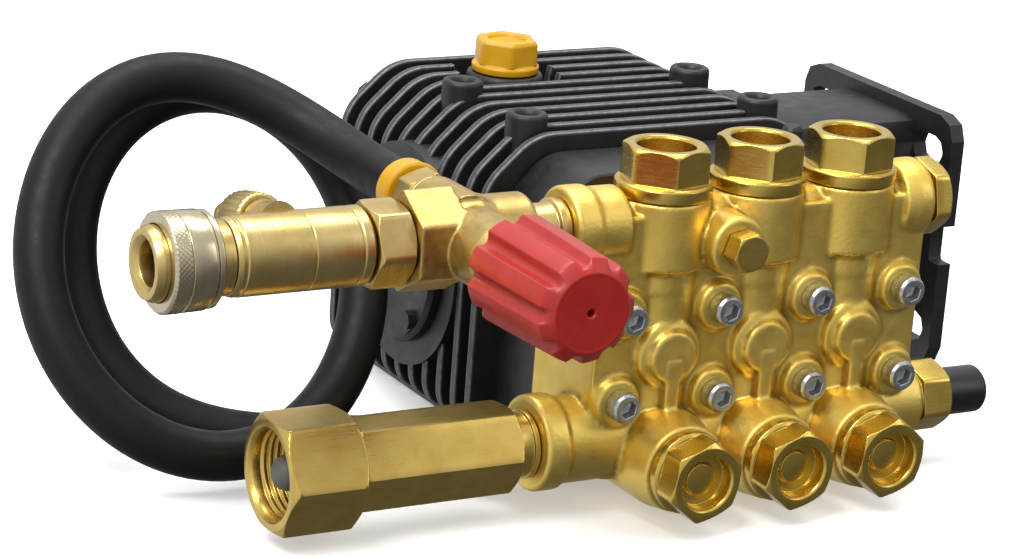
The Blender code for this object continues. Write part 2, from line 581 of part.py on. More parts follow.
def make_unloader(brass, red, yellow, nickel):
    """Unloader on the discharge port, its knob, bypass barb, injector and quick coupler."""
    line = (0, VALVE_Y, DISCHARGE_Z)
    cross = (UNLOADER_X, 0, DISCHARGE_Z)
    tail = (UNLOADER_X, 0, HOSE_Z)
    nipple = [
        (-60 * MM, 5.7 * MM), (-72 * MM - GAP, 5.7 * MM), (-72 * MM - GAP, 9.5 * MM), (-76 * MM, 9.5 * MM),
        (-76 * MM, 8.2 * MM), (-84 * MM, 8.2 * MM),
    ]
    way = rod("X", line, -86 * MM, -58 * MM, 4 * MM, 10)
    make("unloader_nipple", brass, turned("X", line, nipple, 16), [(CUT, [way])], at=line)

    body = [
        (-84 * MM - GAP, 10.5 * MM), (-86 * MM, 12.2 * MM), (-98 * MM, 12.2 * MM), (-103 * MM, 13.4 * MM),
        (-109 * MM, 13.4 * MM), (-112 * MM, 12.2 * MM),
    ]
    cube = bar("X", line, -127 * MM, -110.5 * MM, hexagon(29 * MM, math.pi / 6))
    neck = turned("Y", cross, [(22 * MM, 11.6 * MM), (-8 * MM, 11.6 * MM), (-14 * MM, 9.5 * MM)], 18)
    rear = turned("Y", tail, [(16 * MM, 9.5 * MM), (36 * MM, 9.5 * MM), (37 * MM, 8.5 * MM)], 16)
    flow = rod("X", line, -128 * MM, -83 * MM, 5.5 * MM, 12)
    pocket = rod("Y", cross, -20 * MM, 20 * MM, 6.3 * MM, 12)
    outlet = rod("Y", tail, 17 * MM, 40 * MM, 5.2 * MM, 12)
    steps = [(ADD, [cube]), (ADD, [neck]), (ADD, [rear]), (CUT, [flow]), (CUT, [pocket]), (CUT, [outlet])]
    make("unloader_body", brass, turned("X", line, body, 18), steps, at=cross, sharp=36.0)

    lobes = 9
    sections = []
    for y, radius in (
        (KNOB_REAR, 16.2), (KNOB_REAR - 1.2 * MM, 17.2), (KNOB_FACE + 2 * MM, 15.7), (KNOB_FACE, 14.4),
    ):
        outline = []
        for i in range(lobes * 6):
            angle = 2 * math.pi * i / (lobes * 6)
            wave = min(0.35, math.cos(lobes * angle)) - 0.35
            outline.append(
                ((radius + 1.5 * wave) * MM * math.cos(angle), (radius + 1.5 * wave) * MM * math.sin(angle))
            )
        sections.append((y, outline))
    knob = loft(sections, "Y", cross)
    dish = turned("Y", cross, [(KNOB_FACE - 1 * MM, 10.6 * MM), (KNOB_FACE + 1.6 * MM, 10.6 * MM)], 18)
    eye = rod("Y", cross, KNOB_FACE - 1 * MM, KNOB_FACE + 5 * MM, 1.4 * MM, 8)
    well = rod("Y", cross, -46 * MM, KNOB_REAR + 1 * MM, 7 * MM, 14)
    make("unloader_knob", red, knob, [(CUT, [dish]), (CUT, [eye, well])], at=cross)
    stem = [(16 * MM, 4 * MM), (4 * MM, 4 * MM), (4 * MM, 6 * MM), (-20 * MM, 6 * MM), (-44 * MM, 6 * MM)]
    make("unloader_stem", nickel, turned("Y", cross, stem, 12), at=cross)

    barb = [
        (26 * MM, 4.9 * MM), (37.3 * MM, 4.9 * MM), (37.3 * MM, 9 * MM), (40 * MM, 9 * MM), (48 * MM, 6.2 * MM),
        (49 * MM, 5.4 * MM), (HOSE_START - 2 * GAP, 5.4 * MM),
    ]
    head = bar("Y", tail, 39 * MM, 47.5 * MM, hexagon(17 * MM, 0.3))
    way = rod("Y", tail, 25 * MM, 59 * MM, 3.4 * MM, 10)
    make("bypass_barb", brass, turned("Y", tail, barb, 14), [(ADD, [head]), (CUT, [way])], at=tail)
    collar = [
        (49 * MM, 5.7 * MM), (49 * MM, 9.6 * MM), (50 * MM, 10.4 * MM), (57 * MM, 10.4 * MM),
        (HOSE_START - 3 * GAP, 9 * MM), (HOSE_START - 3 * GAP, 5.7 * MM),
    ]
    make("bypass_collar", yellow, turned("Y", tail, collar, 18, hollow=True), at=tail)

    nut = bar("X", line, -139.6 * MM, -127 * MM - GAP, hexagon(24 * MM, 0.1))
    hole = rod("X", line, -141 * MM, -126 * MM, 7.3 * MM, 14)
    make("outlet_nut", brass, nut, [(CUT, [hole])], at=line)
    tube = [
        (-118 * MM, 5.2 * MM), (-127.6 * MM, 5.2 * MM), (-127.6 * MM, 7 * MM), (-139.6 * MM - GAP, 7 * MM),
        (-139.6 * MM - GAP, 11 * MM), (-141 * MM, 12.2 * MM), (-184.5 * MM, 12.2 * MM), (
            -185.3 * MM, 11.4 * MM,
        ),
    ]
    way = rod("X", line, -186 * MM, -117 * MM, 3.6 * MM, 10)
    boss = turned_along(INJECTOR_SPOT, INJECTOR_AIM, [(-12 * MM, 6.4 * MM), (0, 6.4 * MM)], 12)
    make("injector_body", brass, turned("X", line, tube, 20), [(ADD, [boss]), (CUT, [way])], at=line)
    dial = [(GAP, 7.6 * MM), (1 * MM, 8.4 * MM), (14 * MM, 8.4 * MM), (15 * MM, 7.6 * MM), (15 * MM, 4 * MM)]
    dial += [(22 * MM, 3 * MM), (23 * MM, 4 * MM), (25.5 * MM, 4.4 * MM), (28 * MM, 3 * MM)]
    dial = turned_along(INJECTOR_SPOT, INJECTOR_AIM, dial, 14)
    pipe = turned_along(INJECTOR_SPOT, INJECTOR_AIM, [(2 * MM, 1.6 * MM), (30 * MM, 1.6 * MM)], 8)
    make("injector_dial", brass, dial, [(CUT, [pipe])], at=INJECTOR_SPOT)

    inner = [
        (-185.3 * MM - GAP, 11.4 * MM), (-208 * MM, 11.4 * MM), (-210.5 * MM, 10.4 * MM),
        (-210.5 * MM, 8.2 * MM), (-208.5 * MM, 6.6 * MM), (-188 * MM, 6.6 * MM), (-188 * MM, 3.4 * MM),
        (-185.3 * MM - GAP, 3.4 * MM),
    ]
    make("coupler_body", brass, turned("X", line, inner, 20, hollow=True), at=line)
    sleeve = [
        (-190 * MM, 11.7 * MM), (-190 * MM, 14 * MM), (-191 * MM, 15.2 * MM), (-205.5 * MM, 15.2 * MM),
        (-206.5 * MM, 14.2 * MM), (-206.5 * MM, 11.7 * MM),
    ]
    make("coupler_sleeve", nickel, turned("X", line, sleeve, 24, hollow=True), at=line)


def make_inlet(brass, steel):
    """Suction line: hex tube, garden-hose swivel nut, strainer, bypass return barb."""
    line = (0, VALVE_Y, GALLERY_Z)
    neck = [
        (-64 * MM, 7.7 * MM), (-78 * MM - GAP, 7.7 * MM), (-78 * MM - GAP, 11 * MM), (-80 * MM, 11 * MM),
        (-80 * MM, 10 * MM), (-86 * MM, 10 * MM),
    ]
    tube = bar("X", line, -140.7 * MM, -85 * MM, hexagon(26 * MM, 0.0))
    spigot = [(-140 * MM, 10 * MM), (-148 * MM, 10 * MM), (-148 * MM, 12.4 * MM), (-151.5 * MM, 12.4 * MM)]
    way = rod("X", line, -153 * MM, -62 * MM, 6.5 * MM, 14)
    rim = rod("X", line, -153 * MM, -149 * MM, 10.3 * MM, 16)
    steps = [(ADD, [tube]), (ADD, [turned("X", line, spigot, 18)]), (CUT, [way]), (CUT, [rim])]
    make("inlet_tube", brass, turned("X", line, neck, 18), steps, at=line)
    nut = bar("X", line, NUT_FACE, TUBE_END, hexagon(34 * MM, 0.0))
    bore = turned(
        "X", line,
        [
            (NUT_FACE - 1 * MM, 13.6 * MM), (-147.6 * MM, 13.6 * MM), (-147.6 * MM, 10.4 * MM),
            (-140 * MM, 10.4 * MM),
        ],
        20,
    )
    make("inlet_swivel_nut", brass, nut, [(CUT, [bore])], at=line)
    dome = [
        (-149 * MM - GAP, 9.8 * MM), (-152.5 * MM, 9.8 * MM), (-154.5 * MM, 6.2 * MM), (-160 * MM, 5.6 * MM),
        (-163.5 * MM, 4.4 * MM), (-165.2 * MM, 2 * MM),
    ]
    hollow = [
        (-146 * MM, 8.6 * MM), (-151.8 * MM, 8.6 * MM), (-154 * MM, 5 * MM), (-159.6 * MM, 4.4 * MM),
        (-162.6 * MM, 3 * MM), (-163.9 * MM, 1 * MM),
    ]
    make(
        "inlet_strainer", steel, turned("X", line, dome, 16), [(CUT, [turned("X", line, hollow, 14)])],
        at=line,
    )
    reach = (Vector(ROUTE[-1]) * MM - Vector(RETURN_BOSS)).length
    barb = [
        (-8 * MM, 4.7 * MM), (GAP, 4.7 * MM), (GAP, 8 * MM), (5 * MM, 8 * MM), (6 * MM, 5.4 * MM),
        (reach - GAP, 5.4 * MM),
    ]
    way = turned_along(RETURN_BOSS, RETURN_AIM, [(-10 * MM, 3.2 * MM), (reach + 1 * MM, 3.2 * MM)], 10)
    make(
        "return_barb", brass, turned_along(RETURN_BOSS, RETURN_AIM, barb, 14), [(CUT, [way])],
        at=RETURN_BOSS,
    )


def smooth_route(count):
    """Points read evenly from the cubic B-spline steered by ROUTE, which starts and ends on it."""
    steer = [Vector(p) * MM for p in ROUTE]
    steer = [2 * steer[0] - steer[1]] + steer + [2 * steer[-1] - steer[-2]]
    spans = len(steer) - 3
    points = []
    for k in range(count):
        t = spans * k / (count - 1)
        i = min(int(t), spans - 1)
        u = t - i
        weights = ((1 - u) ** 3, 3 * u ** 3 - 6 * u ** 2 + 4, -3 * u ** 3 + 3 * u ** 2 + 3 * u + 1, u ** 3)
        points.append(sum((steer[i + j] * (w / 6) for j, w in enumerate(weights)), Vector()))
    return points


def make_hose(rubber):
    """Bypass hose from the unloader's barb to the barb behind the suction gallery."""
    curve = bpy.data.curves.new("bypass_hose", "CURVE")
    curve.dimensions = "3D"
    curve.bevel_depth = HOSE_R
    curve.bevel_resolution = 2
    curve.use_fill_caps = True
    points = smooth_route(HOSE_POINTS)
    spline = curve.splines.new("POLY")
    spline.points.add(len(points) - 1)
    for target, point in zip(spline.points, points):
        target.co = (*shift(point), 1.0)
    curve.materials.append(rubber)
    hose = bpy.data.objects.new("bypass_hose", curve)
    bpy.context.scene.collection.objects.link(hose)


def main():
    for leftover in list(bpy.data.objects):
        bpy.data.objects.remove(leftover)
    coat = material("black_coat", (0.02, 0.02, 0.022), 0.0, 0.45)
    brass = material("brass", (0.72, 0.48, 0.16), 1.0, 0.32)
    steel = material("zinc_steel", (0.62, 0.62, 0.6), 1.0, 0.35)
    nickel = material("nickel", (0.7, 0.66, 0.58), 1.0, 0.25)
    red = material("red_plastic", (0.6, 0.03, 0.03), 0.0, 0.4)
    yellow = material("yellow_plastic", (0.85, 0.6, 0.02), 0.0, 0.4)
    black = material("black_plastic", (0.02, 0.02, 0.02), 0.0, 0.5)
    rubber = material("black_rubber", (0.02, 0.02, 0.02), 0.0, 0.7)
    ceramic = material("white_ceramic", (0.8, 0.8, 0.76), 0.0, 0.2)
    glass = material("clear_glass", (0.8, 0.85, 0.8), 0.0, 0.1)
    make_crankcase(coat)
    make_case_parts(coat, steel, yellow, glass)
    make_drive(steel, ceramic)
    make_manifold(brass)
    make_valves(brass, steel, rubber)
    make_fasteners(steel, brass, black)
    make_unloader(brass, red, yellow, nickel)
    make_inlet(brass, steel)
    make_hose(rubber)


main()
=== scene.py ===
# %% [markdown]
# # A three-plunger pressure washer pump
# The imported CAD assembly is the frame: every piece below takes its place from it. Drawings of this
# pump are in millimetres, measured from the front of the brass head and the plungers' centre line,
# so all the shapes are worked out in those numbers and moved to the world at the end.

import math

import bmesh
import bpy
import numpy as np
from mathutils import Matrix, Vector


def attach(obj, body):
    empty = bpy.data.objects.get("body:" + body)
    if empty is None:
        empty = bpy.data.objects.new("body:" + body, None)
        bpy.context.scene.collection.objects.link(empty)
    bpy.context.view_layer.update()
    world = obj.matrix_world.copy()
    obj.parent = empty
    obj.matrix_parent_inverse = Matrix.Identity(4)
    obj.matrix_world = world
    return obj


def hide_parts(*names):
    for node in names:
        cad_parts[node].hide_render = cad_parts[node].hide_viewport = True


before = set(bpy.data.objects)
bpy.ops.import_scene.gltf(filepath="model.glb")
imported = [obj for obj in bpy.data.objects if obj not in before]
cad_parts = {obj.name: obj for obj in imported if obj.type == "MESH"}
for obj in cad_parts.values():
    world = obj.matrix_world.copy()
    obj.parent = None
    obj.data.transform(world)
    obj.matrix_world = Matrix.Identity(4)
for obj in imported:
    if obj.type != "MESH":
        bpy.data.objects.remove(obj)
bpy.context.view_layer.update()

# %% [markdown]
# ## From drawing millimetres to the world
# The crankshaft is 127 mm behind the head's front and 52 mm above the floor. One function moves
# whole arrays of points, so no piece is ever turned or scaled afterwards.

# %% Drawing to world
CRANK_BACK = 127.0
AXIS_HEIGHT = 52.0


def to_world(points):
    """Drawing millimetres to world metres: (x, y - 127, z + 52) / 1000, for a whole array."""
    return (np.asarray(points, float) + (0.0, -CRANK_BACK, AXIS_HEIGHT)) * 0.001


# %% [markdown]
# ## Camera
# A product picture of a small machine is taken from about a metre away with a long lens, so that
# near and far parts keep their proportions. The camera looks 31 degrees to the right of straight on,
# 17 degrees down, and leans a little clockwise.

# %% Camera
CAMERA_SPOT = (-0.5911, -0.9596, 0.3829)
AZIMUTH = math.radians(30.629)
DOWN_TILT = math.radians(17.154)
ROLL = math.radians(4.367)

forward = Vector((math.sin(AZIMUTH) * math.cos(DOWN_TILT), math.cos(AZIMUTH) * math.cos(DOWN_TILT),
                  -math.sin(DOWN_TILT)))
level = Vector((math.cos(AZIMUTH), -math.sin(AZIMUTH), 0.0))
under = forward.cross(level)
camera_right = level * math.cos(ROLL) - under * math.sin(ROLL)
camera_up = -(level * math.sin(ROLL) + under * math.cos(ROLL))
turn = Matrix((camera_right, camera_up, -forward)).transposed()

lens = bpy.data.cameras.new("camera")
lens.sensor_width = 36.0
lens.lens = 118.8
camera = bpy.data.objects.new("camera", lens)
camera.matrix_world = Matrix.Translation(CAMERA_SPOT) @ turn.to_4x4()
bpy.context.scene.collection.objects.link(camera)
bpy.context.scene.camera = camera
print("camera at", CAMERA_SPOT, "lens", lens.lens, "mm")

# %% [markdown]
# ## Building a material
# Each finish is a small node tree. One helper adds a node, sets what it is told and links the rest.
# Colours are written as the hex values a painter would pick on a screen, and turned to linear light.


# %% Material helpers
def linear(code):
    """A hex colour such as "#c9a24a" as linear red, green, blue and 1."""
    channels = np.array([int(code[i : i + 2], 16) for i in (1, 3, 5)]) / 255.0
    light = np.where(channels <= 0.04045, channels / 12.92, ((channels + 0.055) / 1.055) ** 2.4)
    return (*light.tolist(), 1.0)


def add(tree, kind, inputs=None, **settings):
    """Adds one node. inputs maps a socket's name or number to a value, or to a socket to link."""
    made = tree.nodes.new(kind)
    for name, value in settings.items():
        setattr(made, name, value)
    for name, value in (inputs or {}).items():
        if isinstance(value, bpy.types.NodeSocket):
            tree.links.new(value, made.inputs[name])
        else:
            made.inputs[name].default_value = value
    return made


def finish(name, metallic=0.0, ior=1.5):
    """An empty material with its Principled shader and the piece's own coordinates in metres."""
    made = bpy.data.materials.new(name)
    made.use_nodes = True
    tree = made.node_tree
    shader = tree.nodes["Principled BSDF"]
    shader.inputs["Metallic"].default_value = metallic
    shader.inputs["IOR"].default_value = ior
    place = add(tree, "ShaderNodeTexCoord").outputs["Object"]
    return made, tree, shader, place


def patches(tree, place, size_mm, detail=3.0, stretch=(1.0, 1.0, 1.0)):
    """Soft noise whose patches are about size_mm across; stretch makes them longer along an axis."""
    scaled = add(tree, "ShaderNodeMapping", {"Vector": place, "Scale": [1.0 / s for s in stretch]})
    wanted = {"Vector": scaled.outputs["Vector"], "Scale": 1000.0 / size_mm, "Detail": detail,
              "Roughness": 0.6}
    return add(tree, "ShaderNodeTexNoise", wanted).outputs["Fac"]


def spread(tree, value, low, high, from_low=0.3, from_high=0.7):
    """Carries a mask from its usual range to the range low to high."""
    wanted = {"Value": value, "From Min": from_low, "From Max": from_high, "To Min": low, "To Max": high}
    return add(tree, "ShaderNodeMapRange", wanted).outputs["Result"]


def blend_colours(tree, mask, first, second):
    """Mixes two colours, or a colour and a socket, by a mask."""
    sides = [linear(c) if isinstance(c, str) else c for c in (first, second)]
    mixed = add(tree, "ShaderNodeMix", {0: mask, 6: sides[0], 7: sides[1]}, data_type="RGBA")
    return mixed.outputs[2]


def mottle(tree, place, size_mm, low, high):
    """Two near colours in soft patches about size_mm across."""
    return blend_colours(tree, spread(tree, patches(tree, place, size_mm), 0.0, 1.0), low, high)


def bumped(tree, shader, height, depth_mm, strength=1.0):
    """Bump whose full swing is depth_mm."""
    wanted = {"Height": height, "Distance": depth_mm * 0.001, "Strength": strength}
    made = add(tree, "ShaderNodeBump", wanted)
    tree.links.new(made.outputs["Normal"], shader.inputs["Normal"])


# %% [markdown]
# ## The bypass hose
# A 16 mm reinforced rubber hose, 0.68 m long. It leaves the barb behind the unloader, makes one and
# a half loops beside the pump and returns under the suction gallery. It could be simulated, but both
# ends are clamped and the rubber is stiff, so one smooth spline through the route is closer to the
# real rest shape.

# %% Rubber
rubber, tree, shader, place = finish("nitrile rubber hose cover, extruded", ior=1.52)
# Extruded rubber is almost black, with faint bloom in patches and a fine matt grain.
tree.links.new(mottle(tree, place, 14.0, "#070708", "#0d0d0e"), shader.inputs["Base Color"])
tree.links.new(spread(tree, patches(tree, place, 5.0), 0.44, 0.6), shader.inputs["Roughness"])
shader.inputs["Specular IOR Level"].default_value = 0.24
bumped(tree, shader, patches(tree, place, 0.9, 4.0), 0.06)

# %% Hose
HOSE_DIAMETER = 16.0
ROUTE = np.array([
    (-106.3, 58.0, 45.5), (-106.3, 80.6, 45.5), (-113.0, 100.2, 51.3), (-127.7, 114.5, 60.6),
    (-144.5, 123.1, 66.8), (-162.8, 125.9, 67.5), (-180.2, 123.7, 61.4), (-194.9, 117.5, 49.6),
    (-205.4, 108.8, 33.9), (-210.5, 98.6, 16.3), (-209.5, 88.0, -1.2), (-202.5, 77.9, -17.1),
    (-190.2, 69.5, -29.8), (-174.0, 63.8, -37.8), (-156.0, 61.5, -40.2), (-138.1, 63.0, -36.8),
    (-122.1, 68.1, -27.9), (-109.5, 76.2, -14.8), (-101.2, 86.3, 1.0), (-98.1, 97.7, 18.1),
    (-100.7, 109.6, 34.6), (-109.3, 121.3, 48.5), (-122.9, 131.3, 57.6), (-139.7, 138.4, 60.1),
    (-156.8, 141.4, 55.2), (-171.7, 140.1, 44.0), (-182.4, 135.1, 28.3), (-187.7, 127.3, 10.4),
    (-187.3, 117.9, -7.6), (-181.0, 108.0, -23.4), (-169.4, 98.7, -35.1), (-153.8, 90.4, -41.6),
    (-135.7, 83.0, -43.6), (-117.2, 75.2, -43.2), (-100.2, 65.2, -41.9), (-86.0, 52.0, -40.0),
])


def spline_through(steer, count):
    """Even cubic B-spline steered by the points: each point is a weighted mean of four neighbours,
    with weights (1-u)^3, 3u^3-6u^2+4, -3u^3+3u^2+3u+1 and u^3, all over six."""
    steer = np.vstack([2 * steer[0] - steer[1], steer, 2 * steer[-1] - steer[-2]])
    t = np.linspace(0.0, len(steer) - 3.0, count)
    first = np.minimum(t.astype(int), len(steer) - 4)
    u = (t - first)[:, None]
    weights = [(1 - u) ** 3, 3 * u**3 - 6 * u**2 + 4, -3 * u**3 + 3 * u**2 + 3 * u + 1, u**3]
    return sum(w * steer[first + k] for k, w in enumerate(weights)) / 6.0


hose_line = to_world(spline_through(ROUTE, 200))
hose_curve = bpy.data.curves.new("hose", "CURVE")
hose_curve.dimensions = "3D"
hose_curve.bevel_depth = HOSE_DIAMETER / 2000.0
hose_curve.bevel_resolution = 8
hose_curve.use_fill_caps = True
run = hose_curve.splines.new("POLY")
run.points.add(len(hose_line) - 1)
run.points.foreach_set("co", np.column_stack([hose_line, np.ones(len(hose_line))]).ravel())
hose_curve.materials.append(rubber)
hose = bpy.data.objects.new("hose", hose_curve)
bpy.context.scene.collection.objects.link(hose)
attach(hose, "pump")
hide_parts("bypass_hose")

# %% [markdown]
# ## Surfaces from numpy
# Nearly every part of a pump is turned, drawn from bar or cast in a simple mould. All of them are
# stacks of closed rings, so one grid function serves them: turned parts have round rings, nuts have
# six-sided ones, and a casting is several stacks run together.

# %% Grid of rings
DIRECTIONS = {"X": (1.0, 0.0, 0.0), "Y": (0.0, 1.0, 0.0), "Z": (0.0, 0.0, 1.0)}
SIDES = {"X": ((0, 1, 0), (0, 0, 1)), "Y": ((1, 0, 0), (0, 0, 1)), "Z": ((1, 0, 0), (0, 1, 0))}


def skin(rings, loop=False):
    """Closed shell over rings of shape (stations, points, 3): quads between neighbouring rings, and a
    fan to the middle of the first and last ring, unless the stations form a loop themselves."""
    stations, count, _ = rings.shape
    index = np.arange(stations * count).reshape(stations, count)
    low = index if loop else index[:-1]
    high = np.roll(index, -1, axis=0) if loop else index[1:]
    quads = np.stack([
        low, np.roll(low, -1, axis=1), np.roll(high, -1, axis=1), high,
    ], axis=-1).reshape(-1, 4)
    points = rings.reshape(-1, 3)
    if loop:
        return points, quads.tolist()
    points = np.vstack([points, rings[0].mean(axis=0), rings[-1].mean(axis=0)])
    first = np.column_stack([np.roll(index[0], -1), index[0], np.full(count, stations * count)])
    last = np.column_stack([index[-1], np.roll(index[-1], -1), np.full(count, stations * count + 1)])
    return points, quads.tolist() + first.tolist() + last.tolist()


def soften(path, radius, steps=3, loop=False):
    """Rounds every corner of a profile of shape (stations, points, 2): the corner is cut off radius away
    on both sides and joined by a parabola (1-u)^2 a + 2u(1-u) corner + u^2 b."""
    if loop:
        path = np.concatenate([path[-1:], path, path[:1]])
    corner = path[1:-1]
    ends = []
    for other in (path[:-2], path[2:]):
        reach = other - corner
        length = np.maximum(np.linalg.norm(reach, axis=-1, keepdims=True), 1e-9)
        ends.append(corner + reach * np.minimum(radius / length, 0.42))
    u = np.linspace(0.0, 1.0, steps + 1)[:, None, None, None]
    arcs = (1 - u) ** 2 * ends[0] + 2 * u * (1 - u) * corner + u**2 * ends[1]
    arcs = np.moveaxis(arcs, 0, 1).reshape(-1, path.shape[1], 2)
    return arcs if loop else np.concatenate([path[:1], arcs, path[-1:]])


def turned(profile, axis, at, count=96, radius=0.35, steps=3, loop=False):
    """Stack of rings about an axis. profile lists (distance along, radius), where a radius is a number or
    one value per point of the ring; its corners are softened by radius."""
    along = np.array([np.broadcast_to(t, count) for t, _ in profile], float)
    out = np.array([np.broadcast_to(r, count) for _, r in profile], float)
    path = np.stack([along, out], axis=-1)
    if radius > 0:
        path = soften(path, radius, steps, loop)
    if isinstance(axis, str):
        aim, (side, up) = np.array(DIRECTIONS[axis]), np.array(SIDES[axis], float)
    else:
        aim = np.array(axis, float) / np.linalg.norm(axis)
        side = np.cross(aim, (0.0, 0.0, 1.0))
        side /= np.linalg.norm(side)
        up = np.cross(side, aim)
    angle = np.linspace(0.0, 2 * np.pi, count, endpoint=False)
    spoke = np.cos(angle)[:, None] * side + np.sin(angle)[:, None] * up
    rings = np.array(at, float) + path[..., :1] * aim + path[..., 1:] * spoke
    return skin(rings, loop)


def six_sided(flats, turn=0.0, count=96, sharp=70.0):
    """Radius of a hexagon at each angle: half the width over flats, over the largest of the six cosines,
    taken as a high power mean so that the corners are slightly round."""
    angle = np.linspace(0.0, 2 * np.pi, count, endpoint=False)[:, None]
    faces = turn + np.pi / 6 + np.arange(6) * np.pi / 3
    reach = np.maximum(np.cos(angle - faces), 0.0) ** sharp
    return flats / 2 / reach.sum(axis=1) ** (1.0 / sharp)


def nut_sides(start, end, flats, turn=0.0, count=96, crown=0.5):
    """Profile of a six-sided head from start to end, whose end face is turned to a crown: at each station
    the radius is the smaller of the hexagon and a cone of thirty degrees."""
    hexes = six_sided(flats, turn, count)
    way = 1.0 if end > start else -1.0
    rows = []
    for depth in (2.6, 1.4, 0.9, 0.5, 0.2, 0.0):
        rows.append((end - way * depth, np.minimum(hexes, flats / 2 - crown * 0.2 + depth * 1.75)))
    return [(start, hexes), *rows]


# %% From shells to a piece
def make_piece(name, shells, material, body="pump", stands_for=(), sharp=38.0, worn_and_highlit=None):
    """One object from closed shells given in drawing millimetres: faces outward, smooth except across
    edges sharper than the angle, riding on its body and standing for its CAD nodes."""
    offset = 0
    points, faces = [], []
    for shell_points, shell_faces in shells:
        points.append(shell_points)
        faces += [[v + offset for v in face] for face in shell_faces]
        offset += len(shell_points)
    mesh = bpy.data.meshes.new(name)
    mesh.from_pydata(to_world(np.vstack(points)).tolist(), [], faces)
    solid = bmesh.new()
    solid.from_mesh(mesh)
    bmesh.ops.recalc_face_normals(solid, faces=solid.faces)
    solid.to_mesh(mesh)
    solid.free()
    if worn_and_highlit is not None:
        mesh.attributes.new("worn_and_highlit", "FLOAT", "POINT").data.foreach_set("value", worn_and_highlit.astype(np.float32))
    mesh.shade_smooth()
    mesh.set_sharp_from_angle(angle=math.radians(sharp))
    mesh.materials.append(material)
    piece = bpy.data.objects.new(name, mesh)
    bpy.context.scene.collection.objects.link(piece)
    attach(piece, body)
    if stands_for:
        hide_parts(*stands_for)
    return piece


def cast_together(piece, grain_mm, rounds=5):
    """Runs a piece's shells into one casting: a voxel remesh joins them, and smoothing rounds the joints
    as a mould's fillets do. The result replaces the piece's mesh."""
    join = piece.modifiers.new("join", "REMESH")
    join.mode = "VOXEL"
    join.voxel_size = grain_mm / 1000.0
    join.use_smooth_shade = True
    ease = piece.modifiers.new("ease", "SMOOTH")
    ease.factor = 0.5
    ease.iterations = rounds
    graph = bpy.context.evaluated_depsgraph_get()
    graph.update()
    mesh = bpy.data.meshes.new_from_object(piece.evaluated_get(graph))
    piece.modifiers.clear()
    old = piece.data
    piece.data = mesh
    bpy.data.meshes.remove(old)
    mesh.name = piece.name
    print(piece.name, "cast with", len(mesh.polygons), "faces")
    return piece


# %% [markdown]
# ## Brass finishes
# Three kinds. The head is cast and then tumbled: soft satin, with its hollows painted darker, partly as
# patina and partly as painted shade. Caps and nuts are turned from bar: brighter, with rings from the
# tool. The unloader and injector are hot forged and left raw, so they are paler and drier. All are
# metals, so colour lives in the reflection.

# %% Cast brass
cast_brass, tree, shader, place = finish("cast brass, tumbled", metallic=1.0)
hollow = add(tree, "ShaderNodeNewGeometry").outputs["Pointiness"]
tone = mottle(tree, place, 16.0, "#dfbf5c", "#e7ca70")
# Low pointiness turns the hollows dark brown: partly patina, partly painted shade in the crevices.
patina_and_painted_shade = spread(tree, hollow, 1.0, 0.0, 0.44, 0.5)
tree.links.new(blend_colours(tree, patina_and_painted_shade, tone, "#7a6128"), shader.inputs["Base Color"])
tree.links.new(spread(tree, patches(tree, place, 7.0), 0.38, 0.5), shader.inputs["Roughness"])
# Tumbling leaves a skin of tiny dents, about 1.2 mm apart, over a slow waviness of the mould.
dents = add(tree, "ShaderNodeMath", {0: patches(tree, place, 1.2, 2.0), 1: patches(tree, place, 9.0)},
            operation="ADD")
bumped(tree, shader, dents.outputs[0], 0.09)


# %% Turned brass
def turned_brass(name, low, high, stretch, rough, depth_mm):
    """Brass cut on a lathe or milled: fine tool lines along one direction and small scuffs."""
    made, tree, shader, place = finish(name, metallic=1.0)
    lines = patches(tree, place, 0.45, 2.0, stretch)
    tree.links.new(mottle(tree, place, 8.0, low, high), shader.inputs["Base Color"])
    tree.links.new(spread(tree, lines, *rough), shader.inputs["Roughness"])
    bumped(tree, shader, lines, depth_mm)
    return made


cap_brass = turned_brass("free-cutting brass, turned", "#c3a44c", "#cfb25c", (12.0, 12.0, 1.0),
                         (0.22, 0.29), 0.006)
bar_brass = turned_brass("drawn brass bar", "#c2a354", "#d0b464", (20.0, 1.0, 1.0), (0.26, 0.36), 0.010)
line_brass = turned_brass("raw brass, turned along the line", "#bfa564", "#cdb67c", (0.6, 30.0, 30.0),
                          (0.26, 0.38), 0.016)

forged_brass, tree, shader, place = finish("forged brass, blasted", metallic=1.0)
tree.links.new(mottle(tree, place, 6.0, "#ab9052", "#bea468"), shader.inputs["Base Color"])
tree.links.new(spread(tree, patches(tree, place, 3.0), 0.33, 0.46), shader.inputs["Roughness"])
bumped(tree, shader, patches(tree, place, 0.8, 3.0), 0.07)

# %% Other metals and plastics
nickel, tree, shader, place = finish("nickel plate on turned steel", metallic=1.0)
tree.links.new(mottle(tree, place, 10.0, "#b5a98b", "#c6bca0"), shader.inputs["Base Color"])
rings = patches(tree, place, 0.5, 2.0, (1.0, 40.0, 40.0))
tree.links.new(spread(tree, rings, 0.2, 0.3), shader.inputs["Roughness"])
bumped(tree, shader, rings, 0.015)

zinc, tree, shader, place = finish("zinc plated steel", metallic=1.0)
tree.links.new(mottle(tree, place, 2.0, "#9a9ea1", "#c0c3c4"), shader.inputs["Base Color"])
tree.links.new(spread(tree, patches(tree, place, 1.0), 0.26, 0.42), shader.inputs["Roughness"])
bumped(tree, shader, patches(tree, place, 0.5), 0.02)


def moulded(name, low, high, rough, grain_mm=0.6, depth=0.02, ior=1.5, light=0.0):
    """Injection moulded plastic: even colour with faint flow marks and a fine spark-eroded grain."""
    made, tree, shader, place = finish(name, ior=ior)
    tree.links.new(mottle(tree, place, 12.0, low, high), shader.inputs["Base Color"])
    tree.links.new(spread(tree, patches(tree, place, 4.0), *rough), shader.inputs["Roughness"])
    bumped(tree, shader, patches(tree, place, grain_mm), depth)
    if light:
        shader.inputs["Subsurface Weight"].default_value = light
        shader.inputs["Subsurface Radius"].default_value = (0.004, 0.001, 0.0006)
        shader.inputs["Subsurface Scale"].default_value = 1.0
    return made


